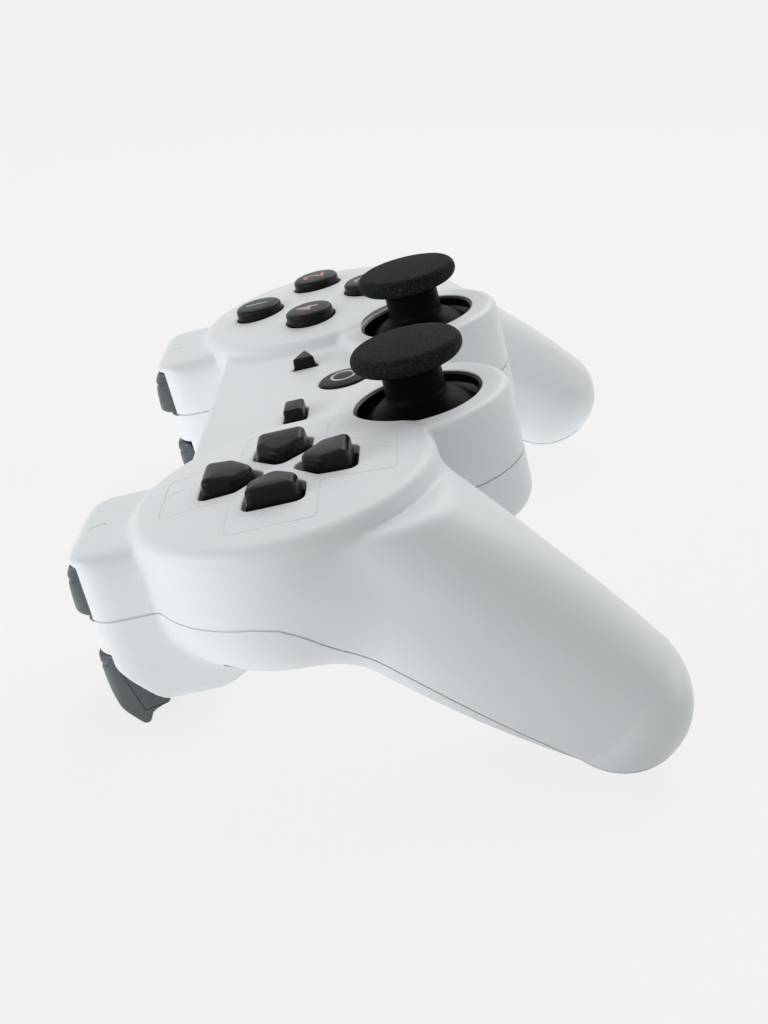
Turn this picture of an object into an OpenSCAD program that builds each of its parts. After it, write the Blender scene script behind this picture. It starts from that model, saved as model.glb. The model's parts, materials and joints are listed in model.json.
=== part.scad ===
// Gamepad controller, in millimetres.
// Every piece is drawn level, with z = 0 on top of the round pods and +Y away from the player,
// and place() then lays the whole pad down on its grips and triggers.

/* [Body] */
// Distance of each pod's centre from the middle
pod_x = 47.7; // [45:0.1:51]
// Radius of each pod
pod_r = 25.6; // [24.5:0.1:27]
// Depth from the top of a pod to its lowest point
pod_depth = 26; // [25:0.1:29]
// Rise of the dome on each pod
pod_dome = 1.2; // [0.8:0.1:1.6]
// Wall of both shells
wall = 2; // [1.6:0.1:2.4]
// Parting line under the top of the pods
seam_depth = 13.4; // [12:0.1:14]
// Middle plate under the top of the pods
plate_drop = 2.2; // [1.8:0.1:2.6]
// Rear wall of the middle
middle_rear = 19; // [18:0.1:21]
// Angle of the pad on the table
rest_tilt = 13.1; // [12:0.1:15]

/* [Grips] */
// Slope of the grips under the pods
grip_slope = 47; // [44:0.5:50]
// Length along a grip to the middle of its round end
grip_len = 60; // [56:0.5:64]
// Radius of the round end
grip_end_r = 11.6; // [10.5:0.1:12.5]

/* [Sticks] */
// Distance of each stick from the middle
stick_x = 23.6; // [22.5:0.1:25]
// Distance of each stick towards the player
stick_front = 22.6; // [22:0.1:24]
// Radius of a stick tower
tower_r = 16.2; // [16:0.1:17]
// Radius of the hole round a stick
stick_hole_r = 11; // [10.8:0.1:12]
// Radius of a thumb cap
cap_r = 9.9; // [9:0.1:10.5]
// Radius of a stick's stem
stem_r = 5.3; // [4.8:0.1:5.5]
// Height of a cap's rim over the pods
cap_height = 8; // [7.5:0.1:9]

/* [Buttons] */
// Radius of a face button
face_r = 5; // [4.6:0.1:5.4]
// Distance of the face buttons from their middle
face_ring = 12.2; // [11.6:0.1:12.4]
// Height of the face buttons over their pod
face_height = 3; // [2.6:0.1:3.6]
// Reach of the direction pad from its middle
dpad_reach = 12.4; // [11.8:0.1:12.9]
// Width of one direction cap
dpad_arm = 8.6; // [8:0.1:9.2]
// Height of the direction caps over their pod
dpad_height = 3.6; // [3:0.1:4.2]
// Distance of select and start from the middle
small_x = 14.4; // [13:0.1:15]
// Radius of the home button
home_r = 4.7; // [4.2:0.1:5.2]

/* [Shoulders] */
// Distance of each shoulder block from the middle
shoulder_x = 46.1; // [45:0.1:47.5]
// Width of a shoulder block
shoulder_w = 28; // [26.5:0.1:29]
// Rear face of the shoulder blocks
shoulder_rear = 36; // [35:0.1:37]
// Wall of the shoulder blocks
shoulder_wall = 1.6; // [1.2:0.1:2]

/* [Fits] */
// Gap round each button in its hole
button_gap = 0.35; // [0.3:0.05:0.5]
// Gap round the direction caps, which rock
rocker_gap = 0.75; // [0.7:0.05:1]
// Gap beside the bumpers and triggers
shoulder_gap = 0.4; // [0.3:0.05:0.6]
// Radial gap of a turning pin in its bore
pin_gap = 0.05; // [0.03:0.01:0.1]

/* [Hidden] */
white = [0.93, 0.93, 0.92];
black = [0.07, 0.07, 0.08];
smoke = [0.16, 0.16, 0.17];
steel = [0.62, 0.63, 0.65];
green = [0.08, 0.28, 0.16];
grey_rubber = [0.45, 0.46, 0.47];
clear_white = [0.85, 0.9, 0.95];
blue_wrap = [0.2, 0.26, 0.42];
red_wire = [0.6, 0.1, 0.08];

// Grip axis: s runs down the axis, n rises from it
gu = [-cos(grip_slope), -sin(grip_slope)];
gn = [-sin(grip_slope), cos(grip_slope)];
function gp(s, n) = s * gu + n * gn;
function g3(x, s, n) = [x, gp(s, n)[0], gp(s, n)[1]];
function grip_mid(s) = 5.35 - 0.108 * (grip_len - s);
function grip_x(s) = pod_x + 1.9 + 0.36 * s - 0.0013 * s * s;
function grip_half(s) = grip_end_r + 0.1 + 0.137 * (grip_len - s);
function grip_rise(s) = grip_end_r + 4.6 * (1 - pow(s / grip_len, 3));
grip_top = -1.6;

// Rest plane: the grips' flat lands and the trigger lips all lie on it
land = 0.35;
end_yz = gp(grip_len, grip_mid(grip_len));
rest_lift = end_yz[0] * sin(rest_tilt) - end_yz[1] * cos(rest_tilt) + grip_end_r - land;
rest_y = 15.65;
function rest_z(y) = (y * sin(rest_tilt) - rest_lift) / cos(rest_tilt);

pod_edge = 2.4;
bowl_r = 12;
tower_top = -0.5;
tower_floor = -24;
tower_edge = 1.6;
middle_floor = -25.5;
split_x = 40;
middle_half = 42;
stick_y = -stick_front;
face_fn = 36;

// Levels inside
board_top = -19.4;
board_t = 1.6;
deck_top = -7;
deck_t = 1.6;
deck_r = 17.2;
mid_deck_top = -9.6;
pad_t = 0.7;
plunger_z = -4.5;
mid_plunger_z = -7.4;
dome_gap = 0.1;
dpad_plate_top = -3.9;
dpad_plate_t = 1.2;
dpad_plate_r = dpad_reach + 1.1;
dpad_pivot_z = -5;
dpad_plunger = 0.5;
dome_ring = 9;

// Screws: x, y and the height of each head's seat
screw_r = 1.2;
screw_head_r = 2.2;
screw_head_t = 1.6;
screw_len = 10;
boss_r = 3.4;
side_screw = [pod_x + 17, 11.5, -18];
grip_screw = [pod_x + 17.6, -12, -26.5];
front_screw = [0, -21.6, -19.6];

// Shoulder block, bumper and trigger
sh_half = shoulder_w / 2;
sh_in = sh_half - shoulder_wall;
sh_top = -1.9;
sh_floor = -29.8;
bar_top = -13.8;
bar_floor = -19.8;
mouth_y = 22.4;
trigger_half = sh_in - shoulder_gap;
bumper_half = trigger_half - 0.8;
bumper_rear = shoulder_rear + 2.3;
outer_corner = 7.5;
inner_corner = 8.5;
bumper_top = sh_top - shoulder_wall - 0.4;
bumper_floor = bar_top + 0.6;
bumper_plunger = 29;
bumper_front = bumper_plunger + 2.2;
stop_rear = bumper_plunger - 3.4;
bumper_z = -8.5;
hinge_y = 29.2;
hinge_z = -17.2;
hub_r = 2.5;
trigger_pin_r = 1.25;
pin_seat = 0.8;
knuckle_in = 5;
knuckle_out = 9.6;
lip_y = 31.7;

// Stick module, about the tilt centre
pivot_z = -13.4;
skirt_r = 14.4;
skirt_t = 1.2;
skirt_angle = 57;
click = 0.5;
lever_r = 2;
lever_pin_r = 0.9;
lever_top = 4;
trunnion_r = 1.5;
yoke_x = 5;
yoke_y = 3.6;
yoke_h = 1.5;
arch_in = 7;
arch_out = 8.2;
arch_half = 3.5;
frame_x = 7.5;
frame_y = 9.6;
plate_t = 0.8;
plate_half = 4.6;
slider_top = -15.8;
slider_t = 0.8;
slider_r = 5;

// Rumble motors in the grips
motor_x = pod_x + 15.8;
motor_n = 3.5;
motor_r = 9;
motor_s = 30;
motor_len = 15;
shaft_r = 1;
shaft_len = 11;
weight_r = 7.6;
weight_s = 47.5;
weight_len = 7;

// Battery, socket and light guide
battery_w = 36;
battery_front = -7;
battery_rear = 10.5;
battery_t = 7.6;
usb_w = 7.6;
usb_h = 3.8;
usb_depth = 7.8;
light_z = -9.2;
light_w = 2.6;
light_h = 1.1;
lights = [-12, -7, 7, 12];

// Helpers
module place() {
    translate([0, rest_y, rest_lift]) rotate([-rest_tilt, 0, 0]) children();
}
module both() {
    children();
    mirror([1, 0, 0]) children();
}
module left() {
    mirror([1, 0, 0]) children();
}
// A side profile in (y, z), drawn across the width w about x
module side(x, w) {
    translate([x - w / 2, 0, 0]) rotate([90, 0, 90]) linear_extrude(w) children();
}
module on_grip(x, s, n) {
    translate(g3(x, s, n)) rotate([90 + grip_slope, 0, 0]) children();
}
module box(x0, x1, y0, y1, z0, z1) {
    translate([x0, y0, z0]) cube([x1 - x0, y1 - y0, z1 - z0]);
}
function arc(cx, cy, r, a0, a1, n) = [for (i = [0 : n]) let (a = a0 + (a1 - a0) * i / n)
    [cx + r * cos(a), cy + r * sin(a)]];

// A closed wire of radius r along pts, as a swept skin
function unit(v) = v / norm(v);
function tangent(p, i) = unit(p[min(i + 1, len(p) - 1)] - p[max(i - 1, 0)]);
function across(t, up) = unit(cross(t, up));
module wire(p, r, up, k = 6) {
    n = len(p);
    pts = [for (i = [0 : n - 1]) let (t = tangent(p, i), a = across(t, up), b = cross(t, a))
        for (j = [0 : k - 1]) p[i] + r * (cos(360 * j / k) * a + sin(360 * j / k) * b)];
    walls = [for (i = [0 : n - 2]) for (j = [0 : k - 1])
        [(i + 1) * k + j, (i + 1) * k + (j + 1) % k, i * k + (j + 1) % k, i * k + j]];
    start = [for (j = [0 : k - 1]) j];
    end = [for (j = [k - 1 : -1 : 0]) (n - 1) * k + j];
    polyhedron(pts, concat(walls, [start], [end]));
}

// Outer form of the pad, drawn inwards by g for the hollow
module pod(g) {
    e = max(pod_edge - g, 0.6);
    b = bowl_r - g;
    translate([pod_x, 0, 0]) rotate_extrude($fn = 48) polygon(concat(
        g > 0 ? [[0, -g]] : [for (q = [0, 0.5, 0.75]) [(pod_r - e) * q, pod_dome * (1 - q * q)]],
        arc(pod_r - g - e, -g - e, e, 90, 0, g > 0 ? 1 : 3),
        arc(pod_r - g - b, -pod_depth + g + b, b, 0, -90, 4),
        [[0, -pod_depth + g]]));
}
module tower(g) {
    e = max(tower_edge - g, 0.4);
    translate([stick_x, stick_y, 0]) rotate_extrude($fn = 40) polygon(concat(
        [[0, tower_top - g]],
        arc(tower_r - g - e, tower_top - g - e, e, 90, 0, g > 0 ? 1 : 2),
        arc(tower_r - g - 4, tower_floor + g + 4, 4, 0, -90, 2),
        [[0, tower_floor + g]]));
}
module middle(g) {
    front = stick_y - 4.4;
    translate([0, 0, middle_floor + g]) linear_extrude(-plate_drop - middle_floor - 2 * g) polygon([
        [-middle_half, middle_rear - g], [middle_half, middle_rear - g], [middle_half, -8],
        [stick_x, front + g], [-stick_x, front + g], [-middle_half, -8]]);
}
module grip(g) {
    k = 24;
    stations = [3, 16, 28, 40, 51, grip_len];
    ends = g > 0 ? [22, 44, 66] : [15, 30, 45, 60, 75];
    rings = concat([for (s = stations) [s, 1]],
        [for (a = ends) [grip_len + (grip_end_r - g) * sin(a), cos(a)]]);
    n = len(rings);
    body = [for (q = rings) let (s = q[0], c = min(s, grip_len)) for (j = [0 : k - 1]) let (a = 360 * j / k)
        g3(grip_x(s) + (grip_half(c) - g) * q[1] * sign(cos(a)) * pow(abs(cos(a)), 0.9), s,
            grip_mid(c) + (grip_rise(c) - g) * q[1] * sign(sin(a)) * pow(abs(sin(a)), 0.95))];
    tip = [g3(grip_x(grip_len + grip_end_r - g), grip_len + grip_end_r - g, grip_mid(grip_len))];
    walls = [for (i = [0 : n - 2]) for (j = [0 : k - 1])
        [(i + 1) * k + j, (i + 1) * k + (j + 1) % k, i * k + (j + 1) % k, i * k + j]];
    fan = [for (j = [0 : k - 1]) [n * k, (n - 1) * k + (j + 1) % k, (n - 1) * k + j]];
    intersection() {
        polyhedron(concat(body, tip), concat(walls, fan, [[for (j = [0 : k - 1]) j]]), convexity = 4);
        translate([0, -80, -100]) cube([110, 120, 100 + grip_top - g]);
    }
}
module shoulder_side(g) {
    polygon([[8, sh_top - g], [31, sh_top - g], [shoulder_rear - 1.6 - g / 2, sh_top - g - 0.3],
        [shoulder_rear - 0.5 - g / 2, sh_top - g - 0.8], [shoulder_rear - 0.1 - g / 2, sh_top - g - 1.7],
        [shoulder_rear - 0.1 - g, -15], [shoulder_rear - 0.1 - g, bar_floor],
        [shoulder_rear - 9.6, sh_floor + g], [17, sh_floor + g], [8, 1 - pod_depth + g]]);
}
module shoulder(g) {
    h = sh_half - g;
    intersection() {
        side(shoulder_x, shoulder_w + 4) shoulder_side(g);
        translate([0, 0, -50]) linear_extrude(60) hull() {
            translate([shoulder_x - h, 4]) square([2 * h, 1]);
            translate([shoulder_x - h + inner_corner - g, shoulder_rear - inner_corner])
                circle(inner_corner - g, $fn = 32);
            translate([shoulder_x + h - outer_corner + g, shoulder_rear - outer_corner])
                circle(outer_corner - g, $fn = 32);
        }
        translate([0, 60, 0]) rotate([90, 0, 0]) linear_extrude(60) hull() {
            for (q = [-1, 1]) {
                translate([shoulder_x + q * (h - 3.6 + g), sh_top - 4]) circle(4 - g, $fn = 20);
                translate([shoulder_x + q * (h - 2 + g / 2), sh_floor + 2.4]) circle(2.4 - g / 2, $fn = 16);
            }
        }
    }
}
module outer() {
    both() {
        pod(0);
        tower(0);
        grip(0);
        shoulder(0);
    }
    middle(0);
}
module hollow() {
    both() {
        pod(wall);
        tower(wall);
        grip(wall);
        shoulder(shoulder_wall);
        // Mouth that the trigger swings in
        box(shoulder_x - sh_in - 0.1, shoulder_x + sh_in + 0.1, mouth_y, 60, -60, bar_floor + 0.15);
        // Opening that the bumper sits in
        bumper_opening();
    }
    middle(wall);
}
module rounded_plan(h, r, rear, c) {
    translate([shoulder_x - h, 20]) square([2 * h, rear - 20 - r]);
    translate([shoulder_x - h + r, 20]) square([2 * (h - r), rear - 20 + c]);
    for (q = [-1, 1]) translate([shoulder_x + q * (h - r), rear - r]) circle(r + c / 2, $fn = 28);
}
module bumper_plan(c) {
    rounded_plan(bumper_half + c, 6.5, bumper_rear, c);
}
module bumper_opening() {
    c = shoulder_gap - 0.06;
    translate([0, 0, bar_top]) linear_extrude(bumper_top + c - bar_top) intersection() {
        bumper_plan(c);
        translate([0, 27]) square([100, 40]);
    }
    side(shoulder_x, shoulder_w + 4) polygon([[shoulder_rear - 2.2, bumper_top + c - 0.05],
        [50, bumper_top + c - 0.05], [50, bar_top + 0.05], [shoulder_rear - 1.9, bar_top + 0.05]]);
}
// Everything above the parting surface
module upper_zone() {
    both() side(split_x + 40, 80) polygon([[70, 60], [70, -seam_depth], [6, -seam_depth],
        [2, -seam_depth - 0.7], [-1.4, -seam_depth - 2.8], [-5.7, -seam_depth - 6.7], gp(27, -8), gp(44, -6),
        gp(grip_len - 5.5, -4.7), gp(grip_len - 2, -4.6), gp(grip_len + 1.5, -4.2),
        gp(grip_len + 5, -2.2), gp(grip_len + 8, 1),
        gp(grip_len + 11.5, 6.4), gp(grip_len + 40, 40), [-90, 60]]);
    box(-split_x, split_x, -90, 70, -seam_depth, 60);
}
module screw_spots() {
    for (q = [side_screw, grip_screw]) for (m = [-1, 1]) translate([m * q[0], q[1], 0]) {
        z = q[2];
        spot(z);
    }
    translate([front_screw[0], front_screw[1], 0]) spot(front_screw[2]);
}
module spot(z) {
    translate([0, 0, z - 40]) cylinder(r = screw_head_r + 0.4, h = 40, $fn = 18);
    translate([0, 0, z - 1]) cylinder(r = screw_r + pin_gap, h = screw_len + 1.6, $fn = 16);
}
module bosses() {
    for (q = [side_screw, grip_screw]) for (m = [-1, 1])
        translate([m * q[0], q[1], -60]) cylinder(r = boss_r, h = 59, $fn = 18);
    translate([front_screw[0], front_screw[1], -60]) cylinder(r = boss_r, h = 60 - plate_drop - 1, $fn = 18);
}

// Shells
module face_spots() {
    for (a = [0, 90, 180, 270]) translate([pod_x + face_ring * cos(a), face_ring * sin(a), 0]) children();
}
module house(c) {
    h = dpad_arm / 2 + c;
    tip = 2.9 - c * 1.4;
    polygon([[tip, 0], [tip + h, -h], [dpad_reach + c, -h], [dpad_reach + c, h], [tip + h, h]]);
}
module dpad_holes() {
    for (a = [0, 90, 180, 270]) translate([-pod_x, 0, -5]) rotate([0, 0, a]) linear_extrude(10)
        house(rocker_gap);
}
module select_plan(c) {
    translate([-small_x - 2.8 - c, 0.4 - 1.8 - c]) square([5.6 + 2 * c, 3.6 + 2 * c]);
}
module start_plan(c) {
    polygon([[small_x - 2.8 - c, 0.4 - 2.4 - 1.7 * c], [small_x - 2.8 - c, 0.4 + 2.4 + 1.7 * c],
        [small_x + 3 + 2.2 * c, 0.4]]);
}
module top_shell() place() color(white) {
    difference() {
        intersection() {
            union() {
                difference() {
                    outer();
                    hollow();
                }
                intersection() {
                    bosses();
                    outer();
                }
                // Guides round the face buttons
                translate([0, 0, -4.2]) face_spots() difference() {
                    cylinder(r = face_r + 2.7, h = 3, $fn = 24);
                    translate([0, 0, -1]) cylinder(r = face_r + 1.9, h = 5, $fn = 24);
                }
                // Walls that the bumpers' rubber pads press on
                both() box(shoulder_x - 9, shoulder_x + 9, stop_rear - 1.4, stop_rear, -13, sh_top - 0.8);
            }
            upper_zone();
        }
        screw_spots();
        face_spots() translate([0, 0, -5]) cylinder(r = face_r + button_gap, h = 10, $fn = face_fn);
        dpad_holes();
        translate([0, 0, -8]) linear_extrude(8) {
            select_plan(button_gap);
            start_plan(button_gap);
        }
        translate([0, -8, -8]) cylinder(r = home_r + button_gap, h = 8, $fn = face_fn);
        both() translate([stick_x, stick_y, -6]) cylinder(r = stick_hole_r, h = 8, $fn = 48);
        for (x = lights) box(x - light_w / 2, x + light_w / 2, middle_rear - wall - 1, middle_rear + 1,
            light_z - light_h / 2, light_z + light_h / 2);
    }
}
module saddle(s) {
    difference() {
        on_grip(motor_x, s, motor_n) translate([-5.9, -20, 0]) cube([11.8, 18, 2]);
        on_grip(motor_x, s - 1, motor_n) cylinder(r = motor_r + 0.1, h = 4, $fn = 36);
    }
}
module bottom_shell() place() color(white) difference() {
    union() {
        difference() {
            union() {
                difference() {
                    outer();
                    hollow();
                }
                intersection() {
                    bosses();
                    outer();
                }
            }
            upper_zone();
        }
        // Posts under the board and the inner frame, and seats for the motors
        both() intersection() {
            outer();
            union() {
                for (y = [-4, 9]) translate([28, y, middle_floor + 0.5])
                    cylinder(r = 2.5, h = board_top - board_t - middle_floor - 0.5, $fn = 16);
                translate([pod_x + 9, 6, 0.5 - pod_depth])
                    cylinder(r = 2.6, h = deck_top - deck_t + pod_depth - 0.5, $fn = 16);
                saddle(motor_s + 2);
                saddle(motor_s + 11);
                on_grip(motor_x, motor_s - 2, motor_n) translate([-8, -22, 0]) cube([5.4, 17, 2]);
            }
        }
    }
    screw_spots();
    // Charging socket
    box(-usb_w / 2 - 0.15, usb_w / 2 + 0.15, middle_rear - wall - 1, middle_rear + 1, board_top - 0.1,
        board_top + usb_h + 0.15);
    // Blind seats of the trigger pins
    both() translate([shoulder_x - sh_in - pin_seat, hinge_y, hinge_z]) rotate([0, 90, 0])
        cylinder(r = trigger_pin_r + pin_gap, h = 2 * (sh_in + pin_seat), $fn = 20);
    // Flat lands that the grips rest on
    rotate([rest_tilt, 0, 0]) box(-100, 100, -100, 100, -rest_lift - 20, -rest_lift);
}

// Board, frame and power
module board_plan() {
    translate([-34, -8]) square([68, 24]);
    for (m = [-1, 1]) translate([m * stick_x, stick_y]) circle(12.6, $fn = 48);
    for (m = [-1, 1]) translate([m * stick_x - 10, stick_y]) square([20, 18]);
}
module main_board() place() color(green) translate([0, 0, board_top - board_t]) linear_extrude(board_t)
    board_plan();
module inner_frame() place() color(black) difference() {
    union() {
        both() {
            translate([pod_x, 0, deck_top - deck_t]) cylinder(r = deck_r, h = deck_t, $fn = 64);
            box(24, 34, -4, 10, mid_deck_top - deck_t, deck_top);
            for (y = [-1, 7]) translate([30, y, board_top])
                cylinder(r = 2.2, h = deck_top - board_top - 1, $fn = 32);
        }
        box(-25, 25, -7, 13, mid_deck_top - deck_t, mid_deck_top);
        box(-8.5, 8.5, -15.5, -6, mid_deck_top - deck_t, mid_deck_top);
    }
    both() for (q = [side_screw, grip_screw]) translate([q[0], q[1], -30])
        cylinder(r = boss_r + 0.6, h = 40, $fn = 32);
}
module battery() place() color(blue_wrap)
    box(-battery_w / 2, battery_w / 2, battery_front, battery_rear, board_top, board_top + battery_t);
module battery_lead() place() color(red_wire) {
    box(21.5, 25, 3, 7.6, board_top, board_top + 2.6);
    for (d = [0, 1.8]) wire([[battery_w / 2, 1.4 + d, -14], [battery_w / 2 + 1.6, 1.5 + d, -14],
        [battery_w / 2 + 3, 2.2 + d, -15], [22.4, 3.4 + d, -16.4], [23.2, 4.4 + d, -17.2]], 0.55, [0, 0, 1]);
}
module usb_socket() place() color(steel) difference() {
    box(-usb_w / 2, usb_w / 2, middle_rear - usb_depth, middle_rear + 0.2, board_top, board_top + usb_h);
    difference() {
        box(0.4 - usb_w / 2, usb_w / 2 - 0.4, middle_rear - usb_depth + 0.8, middle_rear + 1, board_top + 0.4,
            board_top + usb_h - 0.4);
        box(-2.5, 2.5, middle_rear - usb_depth, middle_rear - 1, board_top + 1.5, board_top + 2.3);
    }
}
module light_guide() place() color(clear_white) {
    box(-14, 14, middle_rear - wall - 1.4, middle_rear - wall, light_z - 1.2, light_z + 1.2);
    for (x = lights) box(x - light_w / 2 + 0.1, x + light_w / 2 - 0.1, middle_rear - wall - 0.5,
        middle_rear - 0.05, light_z - light_h / 2 + 0.1, light_z + light_h / 2 - 0.1);
}
module case_screws() place() color(steel) {
    for (q = [side_screw, grip_screw]) for (m = [-1, 1]) translate([m * q[0], q[1], q[2]]) screw();
    translate(front_screw) screw();
}
module screw() {
    difference() {
        translate([0, 0, -screw_head_t]) cylinder(r = screw_head_r, h = screw_head_t, $fn = 32);
        for (a = [0, 90]) rotate([0, 0, a]) box(-1.5, 1.5, -0.3, 0.3, -screw_head_t - 1, -screw_head_t + 0.8);
    }
    cylinder(r = screw_r, h = screw_len, $fn = 32);
}

// Rubber pads
module dome(r, h) {
    cylinder(r1 = r, r2 = r - 1, h = h, $fn = 32);
}
module dpad_rubber() place() color(grey_rubber) translate([-pod_x, 0, deck_top]) difference() {
    union() {
        cylinder(r = deck_r - 1.2, h = pad_t, $fn = 56);
        for (a = [0, 90, 180, 270]) rotate([0, 0, a]) translate([dome_ring, 0, 0])
            dome(3.6, dpad_plate_top - dpad_plate_t - dpad_plunger - dome_gap - deck_top);
    }
    translate([0, 0, -1]) cylinder(r = 3, h = 4, $fn = 32);
}
module face_rubber() place() color(grey_rubber) {
    translate([pod_x, 0, deck_top]) cylinder(r = deck_r - 0.6, h = pad_t, $fn = 56);
    face_spots() translate([0, 0, deck_top]) dome(4, plunger_z - dome_gap - deck_top);
}
module middle_rubber() place() color(grey_rubber) translate([0, 0, mid_deck_top]) {
    box(-19, 19, -4, 5, 0, pad_t);
    box(-7, 7, -14, -3.5, 0, pad_t);
    for (x = [-small_x, small_x]) translate([x, 0.4, 0]) dome(3, mid_plunger_z - dome_gap - mid_deck_top);
    translate([0, -8, 0]) dome(4, mid_plunger_z - dome_gap - mid_deck_top);
}

// Direction pad on its rocker seat
module dpad_seat() place() color(black) translate([-pod_x, 0, deck_top + 0.3])
    cylinder(r1 = 1.8, r2 = 0.6, h = dpad_plate_top - dpad_plate_t - 2 * pin_gap - deck_top - 0.3, $fn = 32);
module dpad() place() color(black) translate([-pod_x, 0, 0]) {
    plate_z = dpad_plate_top - dpad_plate_t;
    for (a = [0, 90]) rotate([0, 0, a]) translate([-dpad_plate_r, -dpad_arm / 2 - 1, plate_z])
        cube([2 * dpad_plate_r, dpad_arm + 2, dpad_plate_t]);
    for (a = [0, 90, 180, 270]) rotate([0, 0, a]) {
        intersection() {
            translate([0, 0, plate_z + 0.2]) linear_extrude(dpad_height - plate_z + 2) house(0);
            rotate([90, 0, 0]) translate([0, 0, -10]) linear_extrude(20)
                polygon([[0, -8], [20, -8], [20, dpad_height], [dpad_reach - 2, dpad_height],
                    [2, dpad_height - 0.8], [0, dpad_height - 1]]);
        }
        translate([dome_ring, 0, plate_z - dpad_plunger]) cylinder(r = 2.2, h = dpad_plunger + 0.2, $fn = 32);
    }
}

// Buttons that travel straight down
module face_button(a) place() color(black)
    translate([pod_x + face_ring * cos(a), face_ring * sin(a), 0]) rotate_extrude($fn = 64)
    polygon(concat([[0, plunger_z], [3.4, plunger_z], [3.4, -3.6], [face_r + 1.3, -3.6],
        [face_r + 1.3, -wall - 0.4], [face_r, -wall - 0.4]],
        arc(face_r - 0.8, face_height - 1.1, 0.8, 0, 70, 4), [[0, face_height]]));
module rear_face_button() face_button(90);
module right_face_button() face_button(0);
module front_face_button() face_button(270);
module left_face_button() face_button(180);
mid_under = -plate_drop - wall - 0.4;
small_top = 2.1 - plate_drop;
module select_button() place() color(black) {
    translate([0, 0, mid_under - 1]) linear_extrude(small_top - mid_under + 1) select_plan(0);
    translate([0, 0, mid_under - 1]) linear_extrude(1) select_plan(1.2);
    translate([-small_x, 0.4, mid_plunger_z]) cylinder(r = 2, h = mid_under - mid_plunger_z, $fn = 32);
}
module start_button() place() color(black) {
    translate([0, 0, mid_under - 1]) linear_extrude(small_top - mid_under + 1) start_plan(0);
    translate([0, 0, mid_under - 1]) linear_extrude(1) start_plan(0.9);
    translate([small_x - 0.6, 0.4, mid_plunger_z]) cylinder(r = 1.8, h = mid_under - mid_plunger_z, $fn = 32);
}
module home_button() place() color(black) translate([0, -8, 0]) rotate_extrude($fn = 64)
    polygon(concat([[0, mid_plunger_z], [3, mid_plunger_z], [3, mid_under - 1], [home_r + 1.2, mid_under - 1],
        [home_r + 1.2, mid_under], [home_r, mid_under], [home_r, -plate_drop]],
        [for (i = [1 : 4]) [home_r * (1 - i / 4), -plate_drop + 0.7 * (1 - pow(1 - i / 4, 2))]]));

// Bumpers and triggers
module bumper() intersection() {
    union() {
        side(shoulder_x, 2 * bumper_half) polygon([[bumper_front, bumper_top],
            [shoulder_rear - 0.5, bumper_top], [bumper_rear - 1.6, bumper_top - 1.7],
            [bumper_rear - 0.7, bumper_top - 4.9], [bumper_rear, bumper_floor + 0.9],
            [bumper_rear - 0.3, bumper_floor], [bumper_front, bumper_floor]]);
        box(shoulder_x - 3, shoulder_x + 3, bumper_plunger, bumper_front + 1, bumper_z - 2, bumper_z + 2);
    }
    translate([0, 0, -30]) linear_extrude(40) bumper_plan(0);
}
module right_bumper() place() color(smoke) bumper();
module left_bumper() place() color(smoke) left() bumper();
module bumper_rubber() translate([shoulder_x, stop_rear, bumper_z]) rotate([-90, 0, 0]) {
    translate([-7, -4.5, 0]) cube([14, 9, 0.8]);
    cylinder(r1 = 3.4, r2 = 2.6, h = bumper_plunger - stop_rear - dome_gap, $fn = 32);
}
module right_bumper_rubber() place() color(grey_rubber) bumper_rubber();
module left_bumper_rubber() place() color(grey_rubber) left() bumper_rubber();
module trigger() {
    lip_z = rest_z(lip_y);
    difference() {
        union() {
            intersection() {
                side(shoulder_x, 2 * trigger_half) polygon([[shoulder_rear + 0.1, bar_floor - 0.5],
                    [shoulder_rear + 0.7, -22.5], [shoulder_rear + 0.8, -25], [shoulder_rear + 0.4, -28],
                    [shoulder_rear - 0.6, -30.6], [lip_y + 1.6, lip_z + 1.4], [lip_y + 0.6, lip_z + 0.35],
                    [lip_y, lip_z], [lip_y - 0.9, lip_z + 0.3], [lip_y - 1.7, lip_z + 1.8], [29.1, -31.6],
                    [27.9, -31.1], [26.5, -30.7], [26.6, -29], [28.5, -26.4], [31.4, -22.4],
                    [33.3, bar_floor - 0.5]]);
                translate([0, 0, -50]) linear_extrude(40) rounded_plan(trigger_half, 5.5, shoulder_rear + 1, 0);
            }
            for (q = [-1, 1]) {
                xq = shoulder_x + q * (knuckle_out + knuckle_in) / 2;
                side(xq, knuckle_out - knuckle_in) polygon([[hinge_y - hub_r + 0.2, hinge_z],
                    [hinge_y + hub_r - 0.2, hinge_z], [33.4, -21.5], [28.2, -27]]);
                translate([xq - (knuckle_out - knuckle_in) / 2, hinge_y, hinge_z]) rotate([0, 90, 0])
                    cylinder(r = hub_r, h = knuckle_out - knuckle_in, $fn = 40);
            }
        }
        translate([shoulder_x - 20, hinge_y, hinge_z]) rotate([0, 90, 0])
            cylinder(r = trigger_pin_r + pin_gap, h = 40, $fn = 40);
    }
}
module right_trigger() place() color(smoke) trigger();
module left_trigger() place() color(smoke) left() trigger();
module trigger_pin() translate([shoulder_x - sh_in - pin_seat, hinge_y, hinge_z]) rotate([0, 90, 0])
    cylinder(r = trigger_pin_r, h = 2 * (sh_in + pin_seat), $fn = 40);
module right_trigger_pin() place() color(steel) trigger_pin();
module left_trigger_pin() place() color(steel) left() trigger_pin();
module trigger_spring() {
    turns = 5;
    r = 2.2;
    coil = [for (i = [0 : turns * 12]) let (a = 30 * i)
        [shoulder_x - 3.6 + 7.2 * i / (turns * 12), hinge_y + r * cos(a), hinge_z + r * sin(a)]];
    wire(coil, 0.3, [1, 0, 0.01], 5);
}
module right_trigger_spring() place() color(steel) trigger_spring();
module left_trigger_spring() place() color(steel) left() trigger_spring();

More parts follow.
